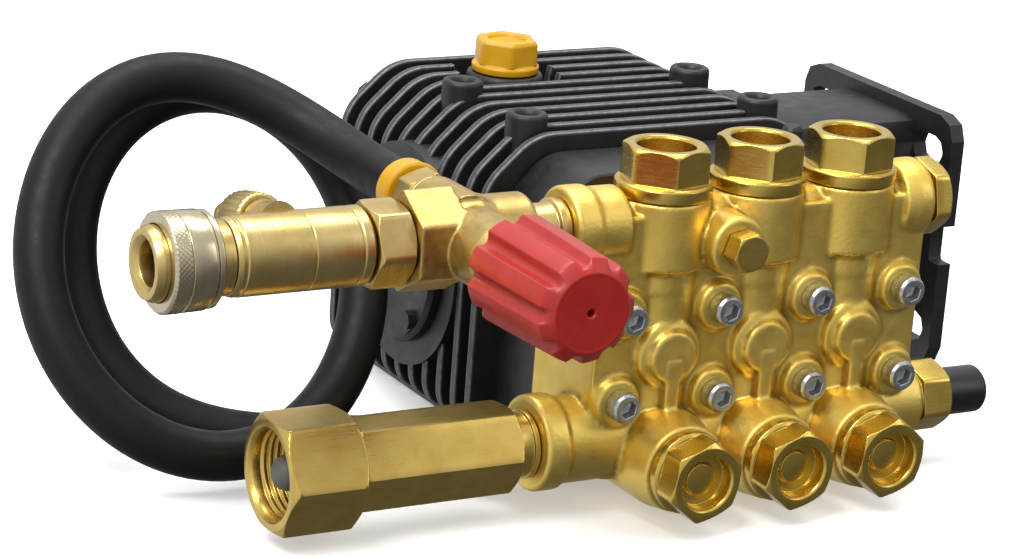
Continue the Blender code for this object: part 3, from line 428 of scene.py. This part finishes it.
red_plastic = moulded("red polyamide, moulded", "#96170f", "#a31d14", (0.32, 0.42), light=0.02)
yellow_plastic = moulded("yellow polyethylene, moulded", "#bd8a00", "#c89600", (0.32, 0.45), light=0.04)
black_plastic = moulded("black vinyl cap, dipped", "#0c0c0e", "#131316", (0.3, 0.42))
grey_mesh = moulded("grey acetal strainer", "#4f4d47", "#605e57", (0.45, 0.6))

coat, tree, shader, place = finish("powder coat on cast aluminium", ior=1.5)
# Black epoxy with a fine orange peel. Edges are paler grey: partly worn bare where they rub in the box,
# partly a painted highlight along the rounded edges.
# The paler edge mark is partly wear and partly a painted highlight on the rounded fin edges.
wear_and_highlight = add(tree, "ShaderNodeAttribute", attribute_name="worn_and_highlit").outputs["Fac"]
broken = spread(tree, patches(tree, place, 2.5, 4.0), 0.45, 1.0, 0.35, 0.6)
mask = add(tree, "ShaderNodeMath", {0: wear_and_highlight, 1: broken}, operation="MULTIPLY").outputs[0]
base = mottle(tree, place, 20.0, "#0d0d0f", "#151517")
tree.links.new(blend_colours(tree, mask, base, "#7c7c80"), shader.inputs["Base Color"])
tree.links.new(spread(tree, patches(tree, place, 5.0), 0.42, 0.56), shader.inputs["Roughness"])
bumped(tree, shader, patches(tree, place, 0.9, 3.0), 0.05)

bare_aluminium, tree, shader, place = finish("cast aluminium, machined", metallic=1.0)
tree.links.new(mottle(tree, place, 6.0, "#b4b6b8", "#d0d2d3"), shader.inputs["Base Color"])
tree.links.new(spread(tree, patches(tree, place, 2.0), 0.34, 0.46), shader.inputs["Roughness"])

ceramic, tree, shader, place = finish("alumina ceramic, ground", ior=1.76)
tree.links.new(mottle(tree, place, 5.0, "#e8e4d8", "#f1eee6"), shader.inputs["Base Color"])
shader.inputs["Roughness"].default_value = 0.15

sight, tree, shader, place = finish("acrylic sight glass", ior=1.49)
tree.links.new(mottle(tree, place, 5.0, "#c8a24a", "#d8b45a"), shader.inputs["Base Color"])
shader.inputs["Roughness"].default_value = 0.08
shader.inputs["Transmission Weight"].default_value = 0.35
print("finishes:", [m.name for m in bpy.data.materials if m.users])

# %% [markdown]
# ## The head
# A brass casting: a block with three columns for the discharge valves, three round chambers for the
# suction valves, and a gallery along the top and the bottom. Turned shells for each of them are laid
# into each other and cast into one skin, so that every joint gets the fillet a sand mould gives it.

# %% Head
COLUMNS = (-35.0, 0.0, 35.0)
VALVE_Y = 18.7
DISCHARGE_Z = 41.0
SUCTION_Z = -33.3
GALLERY_Z = -29.0
BOLTS = [(k * 17.5, 0.0, z) for z in (14.35, -14.35) for k in (-3, -1, 1, 3)]
GAUGE_SPOT = (-17.5, 0.0, 35.7)
RETURN_BOSS = (-75.1, 41.8, -38.5)
RETURN_AIM = (-14.2, 13.2, -1.9)


def boxed(half_a, half_b, radius, count=96):
    """Outline of a box with round corners, as count points: each corner is a quarter circle."""
    quarter = np.linspace(0.0, np.pi / 2, count // 4)
    angle = np.concatenate([quarter + k * np.pi / 2 for k in range(4)])
    sign_a = np.repeat([1, -1, -1, 1], count // 4)
    sign_b = np.repeat([1, 1, -1, -1], count // 4)
    return np.column_stack([
        sign_a * (half_a - radius) + radius * np.cos(angle),
        sign_b * (half_b - radius) + radius * np.sin(angle),
    ])


def drawn(outline, stations, axis, at):
    """Bar of any outline: each station is (distance along, inset), and the outline moves inwards by the
    inset along its own normals."""
    ahead = np.roll(outline, -1, axis=0) - np.roll(outline, 1, axis=0)
    normal = np.column_stack([ahead[:, 1], -ahead[:, 0]])
    normal /= np.maximum(np.linalg.norm(normal, axis=1, keepdims=True), 1e-9)
    side, up = np.array(SIDES[axis], float)
    aim = np.array(DIRECTIONS[axis])
    rings = []
    for along, inset in stations:
        flat = outline - normal * inset
        rings.append(np.array(at, float) + along * aim + flat[:, :1] * side + flat[:, 1:] * up)
    return skin(np.array(rings))


def head_shells():
    """Every volume of the casting, as closed shells."""
    shells = [drawn(boxed(61.0, 43.0, 9.0), [(9.0, 0.0), (45.7, 0.0)], "Y", (0.0, 0.0, 2.0))]
    for x in COLUMNS:
        shells.append(turned([(20, 12.8), (26.8, 12.8), (27.3, 15.3), (49.3, 15.3)], "Z", (x, VALVE_Y, 0),
                             radius=0))
        shells.append(turned([(-36, 12.5), (24, 12.5)], "Z", (x, VALVE_Y, 0), radius=0))
        shells.append(turned([(3.0, 8.2), (5.6, 8.6), (6.2, 11.2), (15, 12)], "Y", (x, 0, 0), radius=0))
        shells.append(turned([(-8.3, 14.2), (-6, 14.6), (2, 16), (24, 16)], "Y", (x, 0, SUCTION_Z),
                             radius=0))
        shells.append(drawn(boxed(2.9, 13.0, 1.0, 32), [(2.6, 0.4), (14.5, -0.6)], "Y", (x, 0, -14.0)))
    for spot in BOLTS:
        shells.append(turned([(5.8, 7.3), (7.2, 8), (14, 9)], "Y", spot, 48, radius=0))
    top = [(-72, 12), (-71, 13), (-64, 13), (-62, 12), (-52, 12), (-51, 8.4), (51, 8.4), (52, 12), (57, 13),
           (61.5, 13), (62.5, 12)]
    shells.append(turned(top, "X", (0, VALVE_Y, DISCHARGE_Z), radius=0))
    bottom = [(-78, 14.4), (-77, 15.4), (-70, 15.4), (-69, 14), (66, 13.5)]
    shells.append(turned(bottom, "X", (0, VALVE_Y, GALLERY_Z), radius=0))
    shells.append(turned([(-1.2, 9.0), (-0.2, 9.8), (14, 10)], "Y", GAUGE_SPOT, 64, radius=0))
    shells.append(turned([(-16, 8.5), (0, 8.5)], RETURN_AIM, RETURN_BOSS, 48, radius=0))
    return shells


head = make_piece("head_casting", head_shells(), cast_brass, stands_for=["manifold"])
HEAD_GRAIN, HEAD_ROUNDS = 0.78, 3
cast_together(head, HEAD_GRAIN, HEAD_ROUNDS)

# %% [markdown]
# ## Valve caps, plugs and screws
# Caps are turned from six-sided bar: a round flange, a head with a crown cut at thirty degrees, and
# a recess. Each is one stack of rings that goes up the outside, over the rim and down the inside.

# %% Caps
def recess(face, floor, radius, way):
    """Profile from the rim of a blind hole down to its floor."""
    return [(face, radius + 0.7), (face - way * 0.7, radius), (floor, radius), (floor, 0.4)]


for k, x in enumerate(COLUMNS):
    top = (x, VALVE_Y, 0)
    profile = [(49.6, 4.0), (49.6, 15.6), (53.4, 15.6), (54.1, 14.6)]
    profile += nut_sides(54.1, 65.2, 25.0, 0.26) + recess(65.2, 57.5, 9.3, 1.0)
    make_piece(f"discharge_cap_{k + 1}", [turned(profile, "Z", top, radius=0.3)], cap_brass,
               stands_for=[f"discharge_valve_cap_{k + 1}"])
    low = (x, 0, SUCTION_Z)
    profile = [(-8.6, 4.0), (-8.6, 13.4), (-11.6, 13.4), (-12.4, 12.4)]
    profile += nut_sides(-12.4, -21.6, 23.5, 0.35)
    profile += [(-21.6, 9.4), (-20.9, 8.7), (-16.2, 8.7), (-16.0, 5.6), (-17.2, 5.0), (-17.4, 0.4)]
    make_piece(f"suction_cap_{k + 1}", [turned(profile, "Y", low, radius=0.3)], cap_brass,
               stands_for=[f"suction_valve_cap_{k + 1}"])
print("six valve caps")

# %% Screws
knurl = 5.0 + 0.07 * np.cos(48 * np.linspace(0, 2 * np.pi, 144, endpoint=False))
for k, spot in enumerate(BOLTS):
    key = six_sided(5.0, 0.3, 144, 120.0)
    profile = [(7.0, 3.0), (5.7, 3.2), (5.7, knurl), (1.0, knurl), (0.0, 4.3), (0.0, key + 0.25),
               (0.25, key), (3.4, key), (3.9, 0.3)]
    make_piece(f"socket_screw_{k + 1}", [turned(profile, "Y", spot, 144, radius=0.25)], zinc,
               stands_for=[f"manifold_bolt_{k + 1}"])

# %% Plugs and relief valve
profile = [(2.0, 4.0), (-1.5, 4.2)] + nut_sides(-1.5, -8.5, 11.5, 0.2, crown=1.0) + [(-8.5, 0.4)]
make_piece("gauge_plug", [turned(profile, "Y", GAUGE_SPOT, radius=0.4)], bar_brass,
           stands_for=["gauge_port_plug"])
spot = (0, VALVE_Y, DISCHARGE_Z)
profile = [(60, 5.7), (62.8, 5.7), (62.8, 9.5), (63.6, 9.5)]
profile += nut_sides(63.6, 70.0, 22.5, 0.3, crown=0.8) + [(70.0, 0.4)]
make_piece("gallery_end_plug", [turned(profile, "X", spot)], cap_brass, stands_for=["gallery_plug"])
spot = (0, VALVE_Y, GALLERY_Z)
profile = [(64, 7.7), (66.3, 7.7), (66.3, 10.0), (68.6, 10.0)]
profile += nut_sides(68.6, 80.0, 21.0, 0.3) + [(80, 5.0), (90, 4.6), (90, 0.4)]
make_piece("relief_valve", [turned(profile, "X", spot)], cap_brass, stands_for=["thermal_relief_valve"])
profile = [(90.5, 0.4), (90.5, 5.3), (80.3, 5.3), (80.3, 7.8), (81.5, 8.0), (95.8, 8.0), (97, 6.9),
           (97, 0.4)]
make_piece("relief_cap", [turned(profile, "X", spot, radius=0.6)], black_plastic,
           stands_for=["relief_valve_cap"])

# %% [markdown]
# ## Unloader
# The forged cross sends water back through the hose when the trigger closes. Its knob squeezes the
# spring: nine lobes with rounded flutes of the same width between them, moulded in red.

# %% Unloader body
UNLOADER_X = -106.3
LINE = (0.0, VALVE_Y, DISCHARGE_Z)
CROSS = (UNLOADER_X, 0.0, DISCHARGE_Z)
TAIL = (UNLOADER_X, 0.0, 45.5)
profile = [(-66, 5.7), (-72.3, 5.7), (-72.3, 9.5), (-75.6, 9.5), (-76.2, 8.2), (-86, 8.2)]
make_piece("port_nipple", [turned(profile, "X", LINE)], line_brass, stands_for=["unloader_nipple"])
block = [(-127.0, six_sided(29.0, np.pi / 6, 96) - 0.5), (-110.5, six_sided(29.0, np.pi / 6, 96) - 0.2)]
shells = [
    turned([(-84.3, 10.8), (-86, 12.2), (-98, 12.2), (-103, 13.4), (-109, 13.4), (-112, 12.2)], "X", LINE,
           radius=0),
    turned(block, "X", LINE, radius=0),
    turned([(22, 11.6), (-8, 11.6), (-13.8, 9.7)], "Y", CROSS, radius=0),
    turned([(14, 9.8), (36, 9.6), (37, 8.6)], "Y", TAIL, radius=0),
]
body = make_piece("unloader_forging", shells, forged_brass, stands_for=["unloader_body"])
FORGING_GRAIN, FORGING_ROUNDS = 0.5, 2
cast_together(body, FORGING_GRAIN, FORGING_ROUNDS)

# %% Knob
KNOB_REAR, KNOB_FACE = -15.7, -59.7
LOBES = 9
ROUND = 432
angle = np.linspace(0.0, 2 * np.pi, ROUND, endpoint=False)
# A lobe's middle is 0 and a flute's middle is 1. The flute is a parabola over its share of the pitch.
FLUTE_SHARE = 0.48
away = np.abs((LOBES * angle / (2 * np.pi) + 0.5) % 1.0 - 0.5) * 2
valley = 1.0 - np.clip((1.0 - away) / FLUTE_SHARE, 0.0, 1.0) ** 2
profile = [(-17.5, 7.0), (KNOB_REAR, 7.0)]
for y, radius, depth in ((-15.7, 15.8, 2.0), (-16.3, 16.8, 2.2), (-17.4, 17.2, 2.4), (-30.0, 16.9, 2.4),
                         (-45.0, 16.4, 2.4), (-55.0, 16.1, 2.3), (-56.6, 15.9, 2.3), (-57.6, 14.8, 1.2),
                         (-58.6, 13.5, 0.3), (-59.5, 12.3, 0.0)):
    profile.append((y, radius - depth * valley))
profile += [(KNOB_FACE, 11.8), (KNOB_FACE + 0.1, 11.2), (KNOB_FACE + 0.1, 1.6)]
profile += [(KNOB_FACE + 0.5, 1.15), (KNOB_FACE + 4.0, 1.1), (KNOB_FACE + 4.0, 0.2)]
make_piece("knob_moulding", [turned(profile, "Y", CROSS, ROUND, radius=0.35)], red_plastic, "knob",
           ["unloader_knob"], 50.0)

# %% Hose fittings
profile = [(28, 4.9), (37.3, 4.9), (37.3, 9.0), (39.0, 9.0)]
profile += nut_sides(39.0, 47.5, 17.0, 0.3) + [
    (47.5, 6.2), (49, 5.4), (57.4, 5.4), (57.4, 3.6), (40, 3.4), (40, 0.3),
]
make_piece("hose_barb_rear", [turned(profile, "Y", TAIL)], line_brass, stands_for=["bypass_barb"])
profile = [(49, 5.7), (49, 9.4), (49.8, 10.4), (51.0, 9.8), (56.2, 9.9), (57.1, 9.0), (57.1, 5.7)]
make_piece("hose_collar", [turned(profile, "Y", TAIL, loop=True)], yellow_plastic,
           stands_for=["bypass_collar"])
profile = [(-6, 4.7), (0.3, 4.7), (0.3, 8.0), (5, 8.0), (6, 5.4), (14.0, 5.4), (14.0, 3.4), (4, 3.2),
           (4, 0.3)]
make_piece("hose_barb_low", [turned(profile, RETURN_AIM, RETURN_BOSS)], line_brass,
           stands_for=["return_barb"])

# %% [markdown]
# ## Outlet: locknut, injector and quick coupler
# The high-pressure line runs left from the unloader. The injector is a plain turned tube with tool
# rings and a small dial on its back; the coupler's sleeve is plated and knurled at its end.

# %% Injector and coupler
profile = [(-127.3, 7.3), *nut_sides(-133.0, -127.3, 24.0, 0.1)[:0:-1],
           *nut_sides(-133.0, -139.6, 24.0, 0.1), (-139.6, 7.3)]
make_piece("locknut", [turned(profile, "X", LINE, loop=True)], line_brass, stands_for=["outlet_nut"])
profile = [(-125, 7.0), (-139.9, 7.0), (-139.9, 10.6), (-141.4, 12.2), (-144.0, 12.2), (-144.3, 11.9),
           (-144.9, 11.9), (-145.2, 12.2)]
profile += [(-160.0, 12.2), (-160.2, 12.0), (-160.7, 12.0), (-160.9, 12.2), (-182.0, 12.2), (-182.3, 11.8),
            (-183.2, 11.8)]
profile += [(-183.5, 12.1), (-185.3, 11.4), (-185.3, 0.4)]
shells = [turned(profile, "X", LINE, radius=0.25)]
INJECTOR_SPOT = (-166.0, 33.4, 46.5)
INJECTOR_AIM = (0.0, 0.97, -0.22)
shells.append(turned([(-12, 6.4), (-0.1, 6.4)], INJECTOR_AIM, INJECTOR_SPOT))
make_piece("injector_tube", shells, line_brass, stands_for=["injector_body"])
ridges = 0.16 * np.cos(30 * np.linspace(0, 2 * np.pi, 120, endpoint=False))
profile = [(0.3, 0.4), (0.3, 7.4), (1.0, 8.2 + ridges), (13.6, 8.2 + ridges), (14.8, 7.6), (15.0, 4.0),
           (21.6, 3.0)]
profile += [(22.6, 4.2), (25.0, 4.3), (27.4, 3.0), (27.8, 1.8), (25, 1.6), (25, 0.3)]
make_piece("injector_dial_ring", [turned(profile, INJECTOR_AIM, INJECTOR_SPOT, 120)], line_brass, "dial",
           ["injector_dial"])
profile = [(-185.6, 3.4), (-185.6, 11.4), (-208.0, 11.4), (-210.4, 10.5), (-210.4, 8.6), (-208.6, 6.8),
           (-206.5, 6.6)]
profile += [(-204.0, 6.6), (-203.6, 7.1), (-202.6, 7.1), (-202.2, 6.6), (-190.0, 6.6), (-188.0, 5.8),
            (-188.0, 3.4)]
make_piece("coupler_core", [turned(profile, "X", LINE, loop=True, radius=0.25)], line_brass,
           stands_for=["coupler_body"])


def diamonds(start, end, radius, count=240, rows=30, depth=0.16, lines=60):
    """Knurl: two families of fine grooves that cross, the sum of the waves cos(n a + k t) and
    cos(n a - k t), pressed into a cylinder."""
    angle = np.linspace(0.0, 2 * np.pi, count, endpoint=False)
    t = np.linspace(start, end, rows)
    lead = 2 * np.pi / 1.6
    press = [0.25 * depth * (np.cos(lines * angle + lead * s) + np.cos(lines * angle - lead * s) - 2)
             for s in t]
    return [(s, radius + p) for s, p in zip(t, press)]


profile = [(-190.0, 11.7), (-190.0, 13.6), (-190.8, 14.6), (-192.4, 14.6), (-192.6, 14.0), (-193.4, 14.0),
           (-193.6, 15.0)]
profile += [(-200.6, 15.1), (-200.9, 14.6)] + diamonds(-201.2, -205.6, 15.2) + [
    (-206.5, 14.3), (-206.5, 11.7),
]
make_piece("coupler_ring", [turned(profile, "X", LINE, 240, radius=0.12, steps=2, loop=True)], nickel,
           "sleeve", ["coupler_sleeve"])

# %% [markdown]
# ## Inlet
# A six-sided brass tube leads to the garden hose nut. Its thread is real here: the bore's radius
# rises and falls with the height plus the angle, which is a helix.

# %% Inlet tube and nut
LOW_LINE = (0.0, VALVE_Y, GALLERY_Z)
profile = [(-70, 7.7), (-78.3, 7.7), (-78.3, 11.0), (-80.0, 11.0), (-80.2, 10.2), (-85.4, 10.2)]
profile += [*nut_sides(-100.0, -85.2, 26.0)[:0:-1], *nut_sides(-100.0, -140.7, 26.0), (-140.7, 10.0),
            (-148, 10.0), (-148, 12.4)]
profile += [(-151.5, 12.4), (-151.5, 10.3), (-149.2, 10.3), (-149.0, 6.5), (-120, 6.5), (-120, 0.4)]
make_piece("inlet_bar", [turned(profile, "X", LOW_LINE)], bar_brass, stands_for=["inlet_tube"])
count = 144
angle = np.linspace(0.0, 2 * np.pi, count, endpoint=False)
thread = []
for t in np.linspace(-163.2, -150.0, 49):
    wave = np.abs(((t / 2.2 + angle / (2 * np.pi)) % 1.0) * 2 - 1)
    thread.append((t, 13.0 + 0.9 * np.clip(wave * 1.5 - 0.25, 0.0, 1.0)))
profile = [(-141.0, 10.4), *nut_sides(-150.0, -141.0, 34.0, 0.0, count)[:0:-1],
           *nut_sides(-150.0, -166.6, 34.0, 0.0, count)]
profile += [(-166.6, 14.8), (-165.2, 13.9)] + thread + [(-147.6, 13.6), (-147.6, 10.4)]
make_piece("garden_hose_nut", [turned(profile, "X", LOW_LINE, count, radius=0.12, steps=2, loop=True)],
           bar_brass, "swivel_nut",
           ["inlet_swivel_nut"])
turns = np.linspace(0.1, np.pi / 2, 12)
dome = [(-152.4, 9.8), (-154.4, 6.2), (-160.0, 5.6)] + [
    (-160.0 - 5.2 * math.sin(a), max(5.6 * math.cos(a), 0.3)) for a in turns
]
make_piece("strainer_dome", [turned([(-149.3, 0.4), (-149.3, 9.8), *dome], "X", LOW_LINE, radius=0.2)],
           grey_mesh,
           stands_for=["inlet_strainer"])

# %% [markdown]
# ## Crankcase
# An aluminium casting with eleven cooling fins, powder coated. A fin is one outline carried through
# its thickness, and its edge is rounded by moving the outline inwards at both faces. Rounded edges
# rub bare first and catch the light, so they get a paler mark that the coat's material reads: partly
# wear, partly a painted highlight.

# %% Crankcase
OIL_SPOT = (-14.5, 157.0, 0.0)
FIN_COUNT, FIN_FIRST, FIN_PITCH = 11, 78.0, 10.0
DECK_UNDER_FINS = 47.2
CAP_CLEARANCE = 18.0


def eased(corners, spacing=1.1):
    """Closed outline from (a, b, radius) corners: each is rounded by a parabola and all edges are cut
    into steps of the spacing."""
    corners = np.array(corners, float)
    spot, radius = corners[:, :2], corners[:, 2:]
    reach = [np.roll(spot, s, axis=0) - spot for s in (1, -1)]
    ends = [spot + r * np.minimum(radius / np.linalg.norm(r, axis=1, keepdims=True), 0.48) for r in reach]
    u = np.linspace(0.0, 1.0, 9)[:, None, None]
    arcs = (1 - u) ** 2 * ends[0] + 2 * u * (1 - u) * spot + u**2 * ends[1]
    rough = np.moveaxis(arcs, 0, 1).reshape(-1, 2)
    rough = np.vstack([rough, rough[:1]])
    gone = np.concatenate([[0.0], np.cumsum(np.linalg.norm(np.diff(rough, axis=0), axis=1))])
    wanted = np.linspace(0.0, gone[-1], int(gone[-1] / spacing), endpoint=False)
    return np.column_stack([np.interp(wanted, gone, rough[:, k]) for k in (0, 1)])


fin_shape = eased([
    (66, 37, 8), (48, 53.5, 8), (-48, 53.5, 8), (-66, 37, 8), (-66, -49.5, 12), (66, -49.5, 12),
])
case_shape = eased([
    (57.6, 33, 8), (45, 46.5, 6), (-45, 46.5, 6), (-57.6, 33, 8), (-57.6, -52, 1.5), (57.6, -52, 1.5),
])
nose_shape = eased([
    (58, 34, 9), (46, 48, 7), (-46, 48, 7), (-58, 34, 9), (-58, -52, 1.5), (58, -52, 1.5),
])


def ring_order(outline):
    """Makes an outline run anticlockwise, so that its normals point outwards."""
    ahead = np.roll(outline, -1, axis=0)
    area = (outline[:, 0] * ahead[:, 1] - ahead[:, 0] * outline[:, 1]).sum()
    return outline if area > 0 else outline[::-1]


fin_shape, case_shape, nose_shape = (ring_order(s) for s in (fin_shape, case_shape, nose_shape))
shells = [
    drawn(case_shape, [(70.0, 0.0), (179.4, 0.0), (180.0, 0.5)], "Y", (0, 0, 0)),
    drawn(nose_shape, [(46.0, 0.6), (46.6, 0.0), (74.0, 0.0), (74.8, 0.6)], "Y", (0, 0, 0)),
]
wear_and_highlight = [np.zeros(len(s[0])) for s in shells]
EDGE = [(-1.7, 1.1), (-1.65, 0.5), (-1.3, 0.12), (-0.7, 0.0), (0.7, 0.0), (1.3, 0.12), (1.65, 0.5),
        (1.7, 1.1)]
# Paler grey on the rounded edge of each fin: wear, together with a painted highlight along the edge.
EDGE_WEAR_AND_HIGHLIGHT = [0.0, 0.15, 1.0, 0.2, 0.2, 1.0, 0.15, 0.0]
for k in range(FIN_COUNT):
    y = FIN_FIRST + FIN_PITCH * k
    shape = fin_shape.copy()
    # Fins beside the oil filler stop at its boss, so that a spanner reaches the cap.
    apart_squared = (shape[:, 0] - OIL_SPOT[0]) ** 2 + (y - OIL_SPOT[1]) ** 2
    beside = (shape[:, 1] > DECK_UNDER_FINS) & (apart_squared < CAP_CLEARANCE**2)
    shape[beside, 1] = DECK_UNDER_FINS
    shell = drawn(shape, EDGE, "Y", (0, y, 0))
    shells.append(shell)
    wear_and_highlight.append(np.concatenate([np.repeat(EDGE_WEAR_AND_HIGHLIGHT, len(shape)), [0.0, 0.0]]))
CRANK = (0.0, 127.0, 0.0)
more = [turned([(-50, 38), (-67.2, 38)], "X", CRANK, radius=1.0)]
more.append(drawn(ring_order(eased([(27, 44, 6), (-27, 44, 6), (-27, -44, 6), (27, -44, 6)])),
                  [(49, 0), (66.5, 0)], "X", CRANK))
SCREW_PADS = ((-44.5, 89), (46, 89), (-44.5, 133), (45, 131))
VENT_SPOT = (41, 60, 0)
for x, y in SCREW_PADS:
    pad = [(30, 7.0), (56.8, 7.0), (57.8, 6.2), (57.8, 4.6), (56.6, 3.6), (53.6, 3.0), (53.4, 0.4)]
    more.append(turned(pad, "Z", (x, y, 0), 64, radius=0.7))
more.append(turned([(40, 14.5), (51.5, 13.5), (53, 12.8), (53, 0.5)], "Z", OIL_SPOT, radius=0.7))
more.append(turned([(40, 3.8), (54, 3.6), (55.5, 2.4), (55.5, 0.4)], "Z", VENT_SPOT, 40, radius=0.6))
shells += more
wear_and_highlight += [np.zeros(len(s[0])) for s in more]
make_piece("crankcase_casting", shells, coat, stands_for=["crankcase"],
           worn_and_highlit=np.concatenate(wear_and_highlight))

# %% Oil cap
profile = [(50, 8.8), (53.3, 8.8), (53.3, 11.6), (55.6, 11.8), (56.2, 11.0)]
hexes = six_sided(20.5, 0.2, 96, 30.0)
profile += [(56.4, hexes - 0.1), (63.8, hexes - 0.3), (65.0, hexes - 1.2), (65.0, 7.2), (64.2, 6.5),
            (63.4, 6.3), (63.4, 0.4)]
make_piece("oil_cap_moulding", [turned(profile, "Z", OIL_SPOT, radius=0.5)], yellow_plastic, "oil_cap",
           ["oil_fill_cap"])

# %% [markdown]
# ## The parts behind
# Covers and the engine flange keep their CAD shape. A merged copy gets a small bevel, because no
# cast or machined edge is perfectly sharp, and a sharp one never catches the light.

# %% Bevelled copies
def edged_copy(node, material, width_mm, body="pump"):
    """Copy of a CAD node with its loose triangles merged, its flat faces joined and its edges rounded."""
    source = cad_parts[node]
    mesh = source.data.copy()
    solid = bmesh.new()
    solid.from_mesh(mesh)
    bmesh.ops.remove_doubles(solid, verts=solid.verts, dist=1e-6)
    bmesh.ops.dissolve_limit(solid, angle_limit=math.radians(1.0), verts=solid.verts, edges=solid.edges)
    solid.to_mesh(mesh)
    solid.free()
    mesh.shade_smooth()
    mesh.set_sharp_from_angle(angle=math.radians(32))
    mesh.materials.clear()
    mesh.materials.append(material)
    piece = bpy.data.objects.new(node + "_finished", mesh)
    bpy.context.scene.collection.objects.link(piece)
    if width_mm:
        edge = piece.modifiers.new("edge", "BEVEL")
        edge.width = width_mm / 1000.0
        edge.segments = 2
        edge.limit_method = "ANGLE"
        edge.angle_limit = math.radians(35)
        edge.harden_normals = True
    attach(piece, body)
    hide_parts(node)
    return piece


edged_copy("engine_flange", coat, 0.5)
edged_copy("rear_cover", coat, 0.4)
edged_copy("left_bearing_cover", coat, 0.3)

# %% Finishes of the nodes that keep their CAD mesh
KEPT = {
    "crankshaft": zinc, "crank_bearing_left": zinc, "crank_bearing_right": zinc, "unloader_stem": nickel,
    "oil_drain_plug": zinc, "oil_sight_glass": sight,
}
for k in (1, 2, 3):
    KEPT[f"connecting_rod_{k}"] = bare_aluminium
    KEPT[f"plunger_{k}"] = ceramic
    KEPT[f"plunger_packing_{k}"] = rubber
    KEPT[f"discharge_valve_{k}"] = zinc
    KEPT[f"suction_valve_{k}"] = zinc
for name, material in KEPT.items():
    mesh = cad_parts[name].data
    mesh.materials.clear()
    mesh.materials.append(material)
print("kept CAD nodes:", len(KEPT))

# %% [markdown]
# ## Studio
# A pale sweep, a graded room and three soft boxes. Polished brass shows whatever surrounds it, so the
# room runs from bright at the upper left to dark at the lower right, and that gives each face its
# tone. The sweep glows a little, like a table lit from below. It is hidden from reflections and from
# bounced light, so it changes nothing on the metal.

# %% Floor and lights
FLOOR_SIZE, FLOOR_DROP, FLOOR_GLOW = 8.0, 0.0005, 0.35
bpy.ops.mesh.primitive_plane_add(size=FLOOR_SIZE, location=(0.0, 0.0, -FLOOR_DROP))
floor = bpy.context.object
floor.name = "floor"
floor_paint, tree, shader, place = finish("matt white sweep")
tree.links.new(mottle(tree, place, 400.0, "#f1f1f0", "#f6f6f5"), shader.inputs["Base Color"])
shader.inputs["Roughness"].default_value = 0.9
shader.inputs["Emission Color"].default_value = (1.0, 1.0, 1.0, 1.0)
shader.inputs["Emission Strength"].default_value = FLOOR_GLOW
floor.data.materials.append(floor_paint)
floor.visible_glossy = False
floor.visible_diffuse = False

LIGHT_SLOPE = (-0.55, 0.35, 0.76)
world = bpy.data.worlds.new("studio")
bpy.context.scene.world = world
world.use_nodes = True
tree = world.node_tree
# The room is bright at the upper left and behind, and dark at the lower right in front.
away = add(tree, "ShaderNodeTexCoord").outputs["Generated"]
dot = add(tree, "ShaderNodeVectorMath", {0: away, 1: LIGHT_SLOPE}, operation="DOT_PRODUCT")
along = dot.outputs["Value"]
# A direction's place along the slope runs from -1 to 1 and is carried to the light from there.
lit = {"Value": along, "From Min": -0.9, "From Max": 0.4, "To Min": 0.16, "To Max": 1.05}
shade = add(tree, "ShaderNodeMapRange", lit, interpolation_type="SMOOTHSTEP").outputs["Result"]
tree.links.new(shade, tree.nodes["Background"].inputs["Strength"])
tree.nodes["Background"].inputs["Color"].default_value = linear("#f7f8fa")


def soft_box(name, spot, aim, width, height, power):
    """Rectangular lamp at spot, facing aim."""
    light = bpy.data.lights.new(name, "AREA")
    light.shape = "RECTANGLE"
    light.size = width
    light.size_y = height
    light.energy = power
    lamp = bpy.data.objects.new(name, light)
    lamp.location = spot
    lamp.rotation_euler = (Vector(aim) - Vector(spot)).to_track_quat("-Z", "Y").to_euler()
    bpy.context.scene.collection.objects.link(lamp)


CENTRE = (-0.03, -0.05, 0.05)
soft_box("key", (-0.8, -0.5, 1.2), CENTRE, 0.6, 0.6, 15.0)
soft_box("fill", (0.9, -1.0, 0.7), CENTRE, 0.3, 0.9, 2.0)
soft_box("top", (0.1, 0.3, 1.3), CENTRE, 1.2, 0.6, 12.0)
bpy.context.scene.view_settings.view_transform = "Standard"
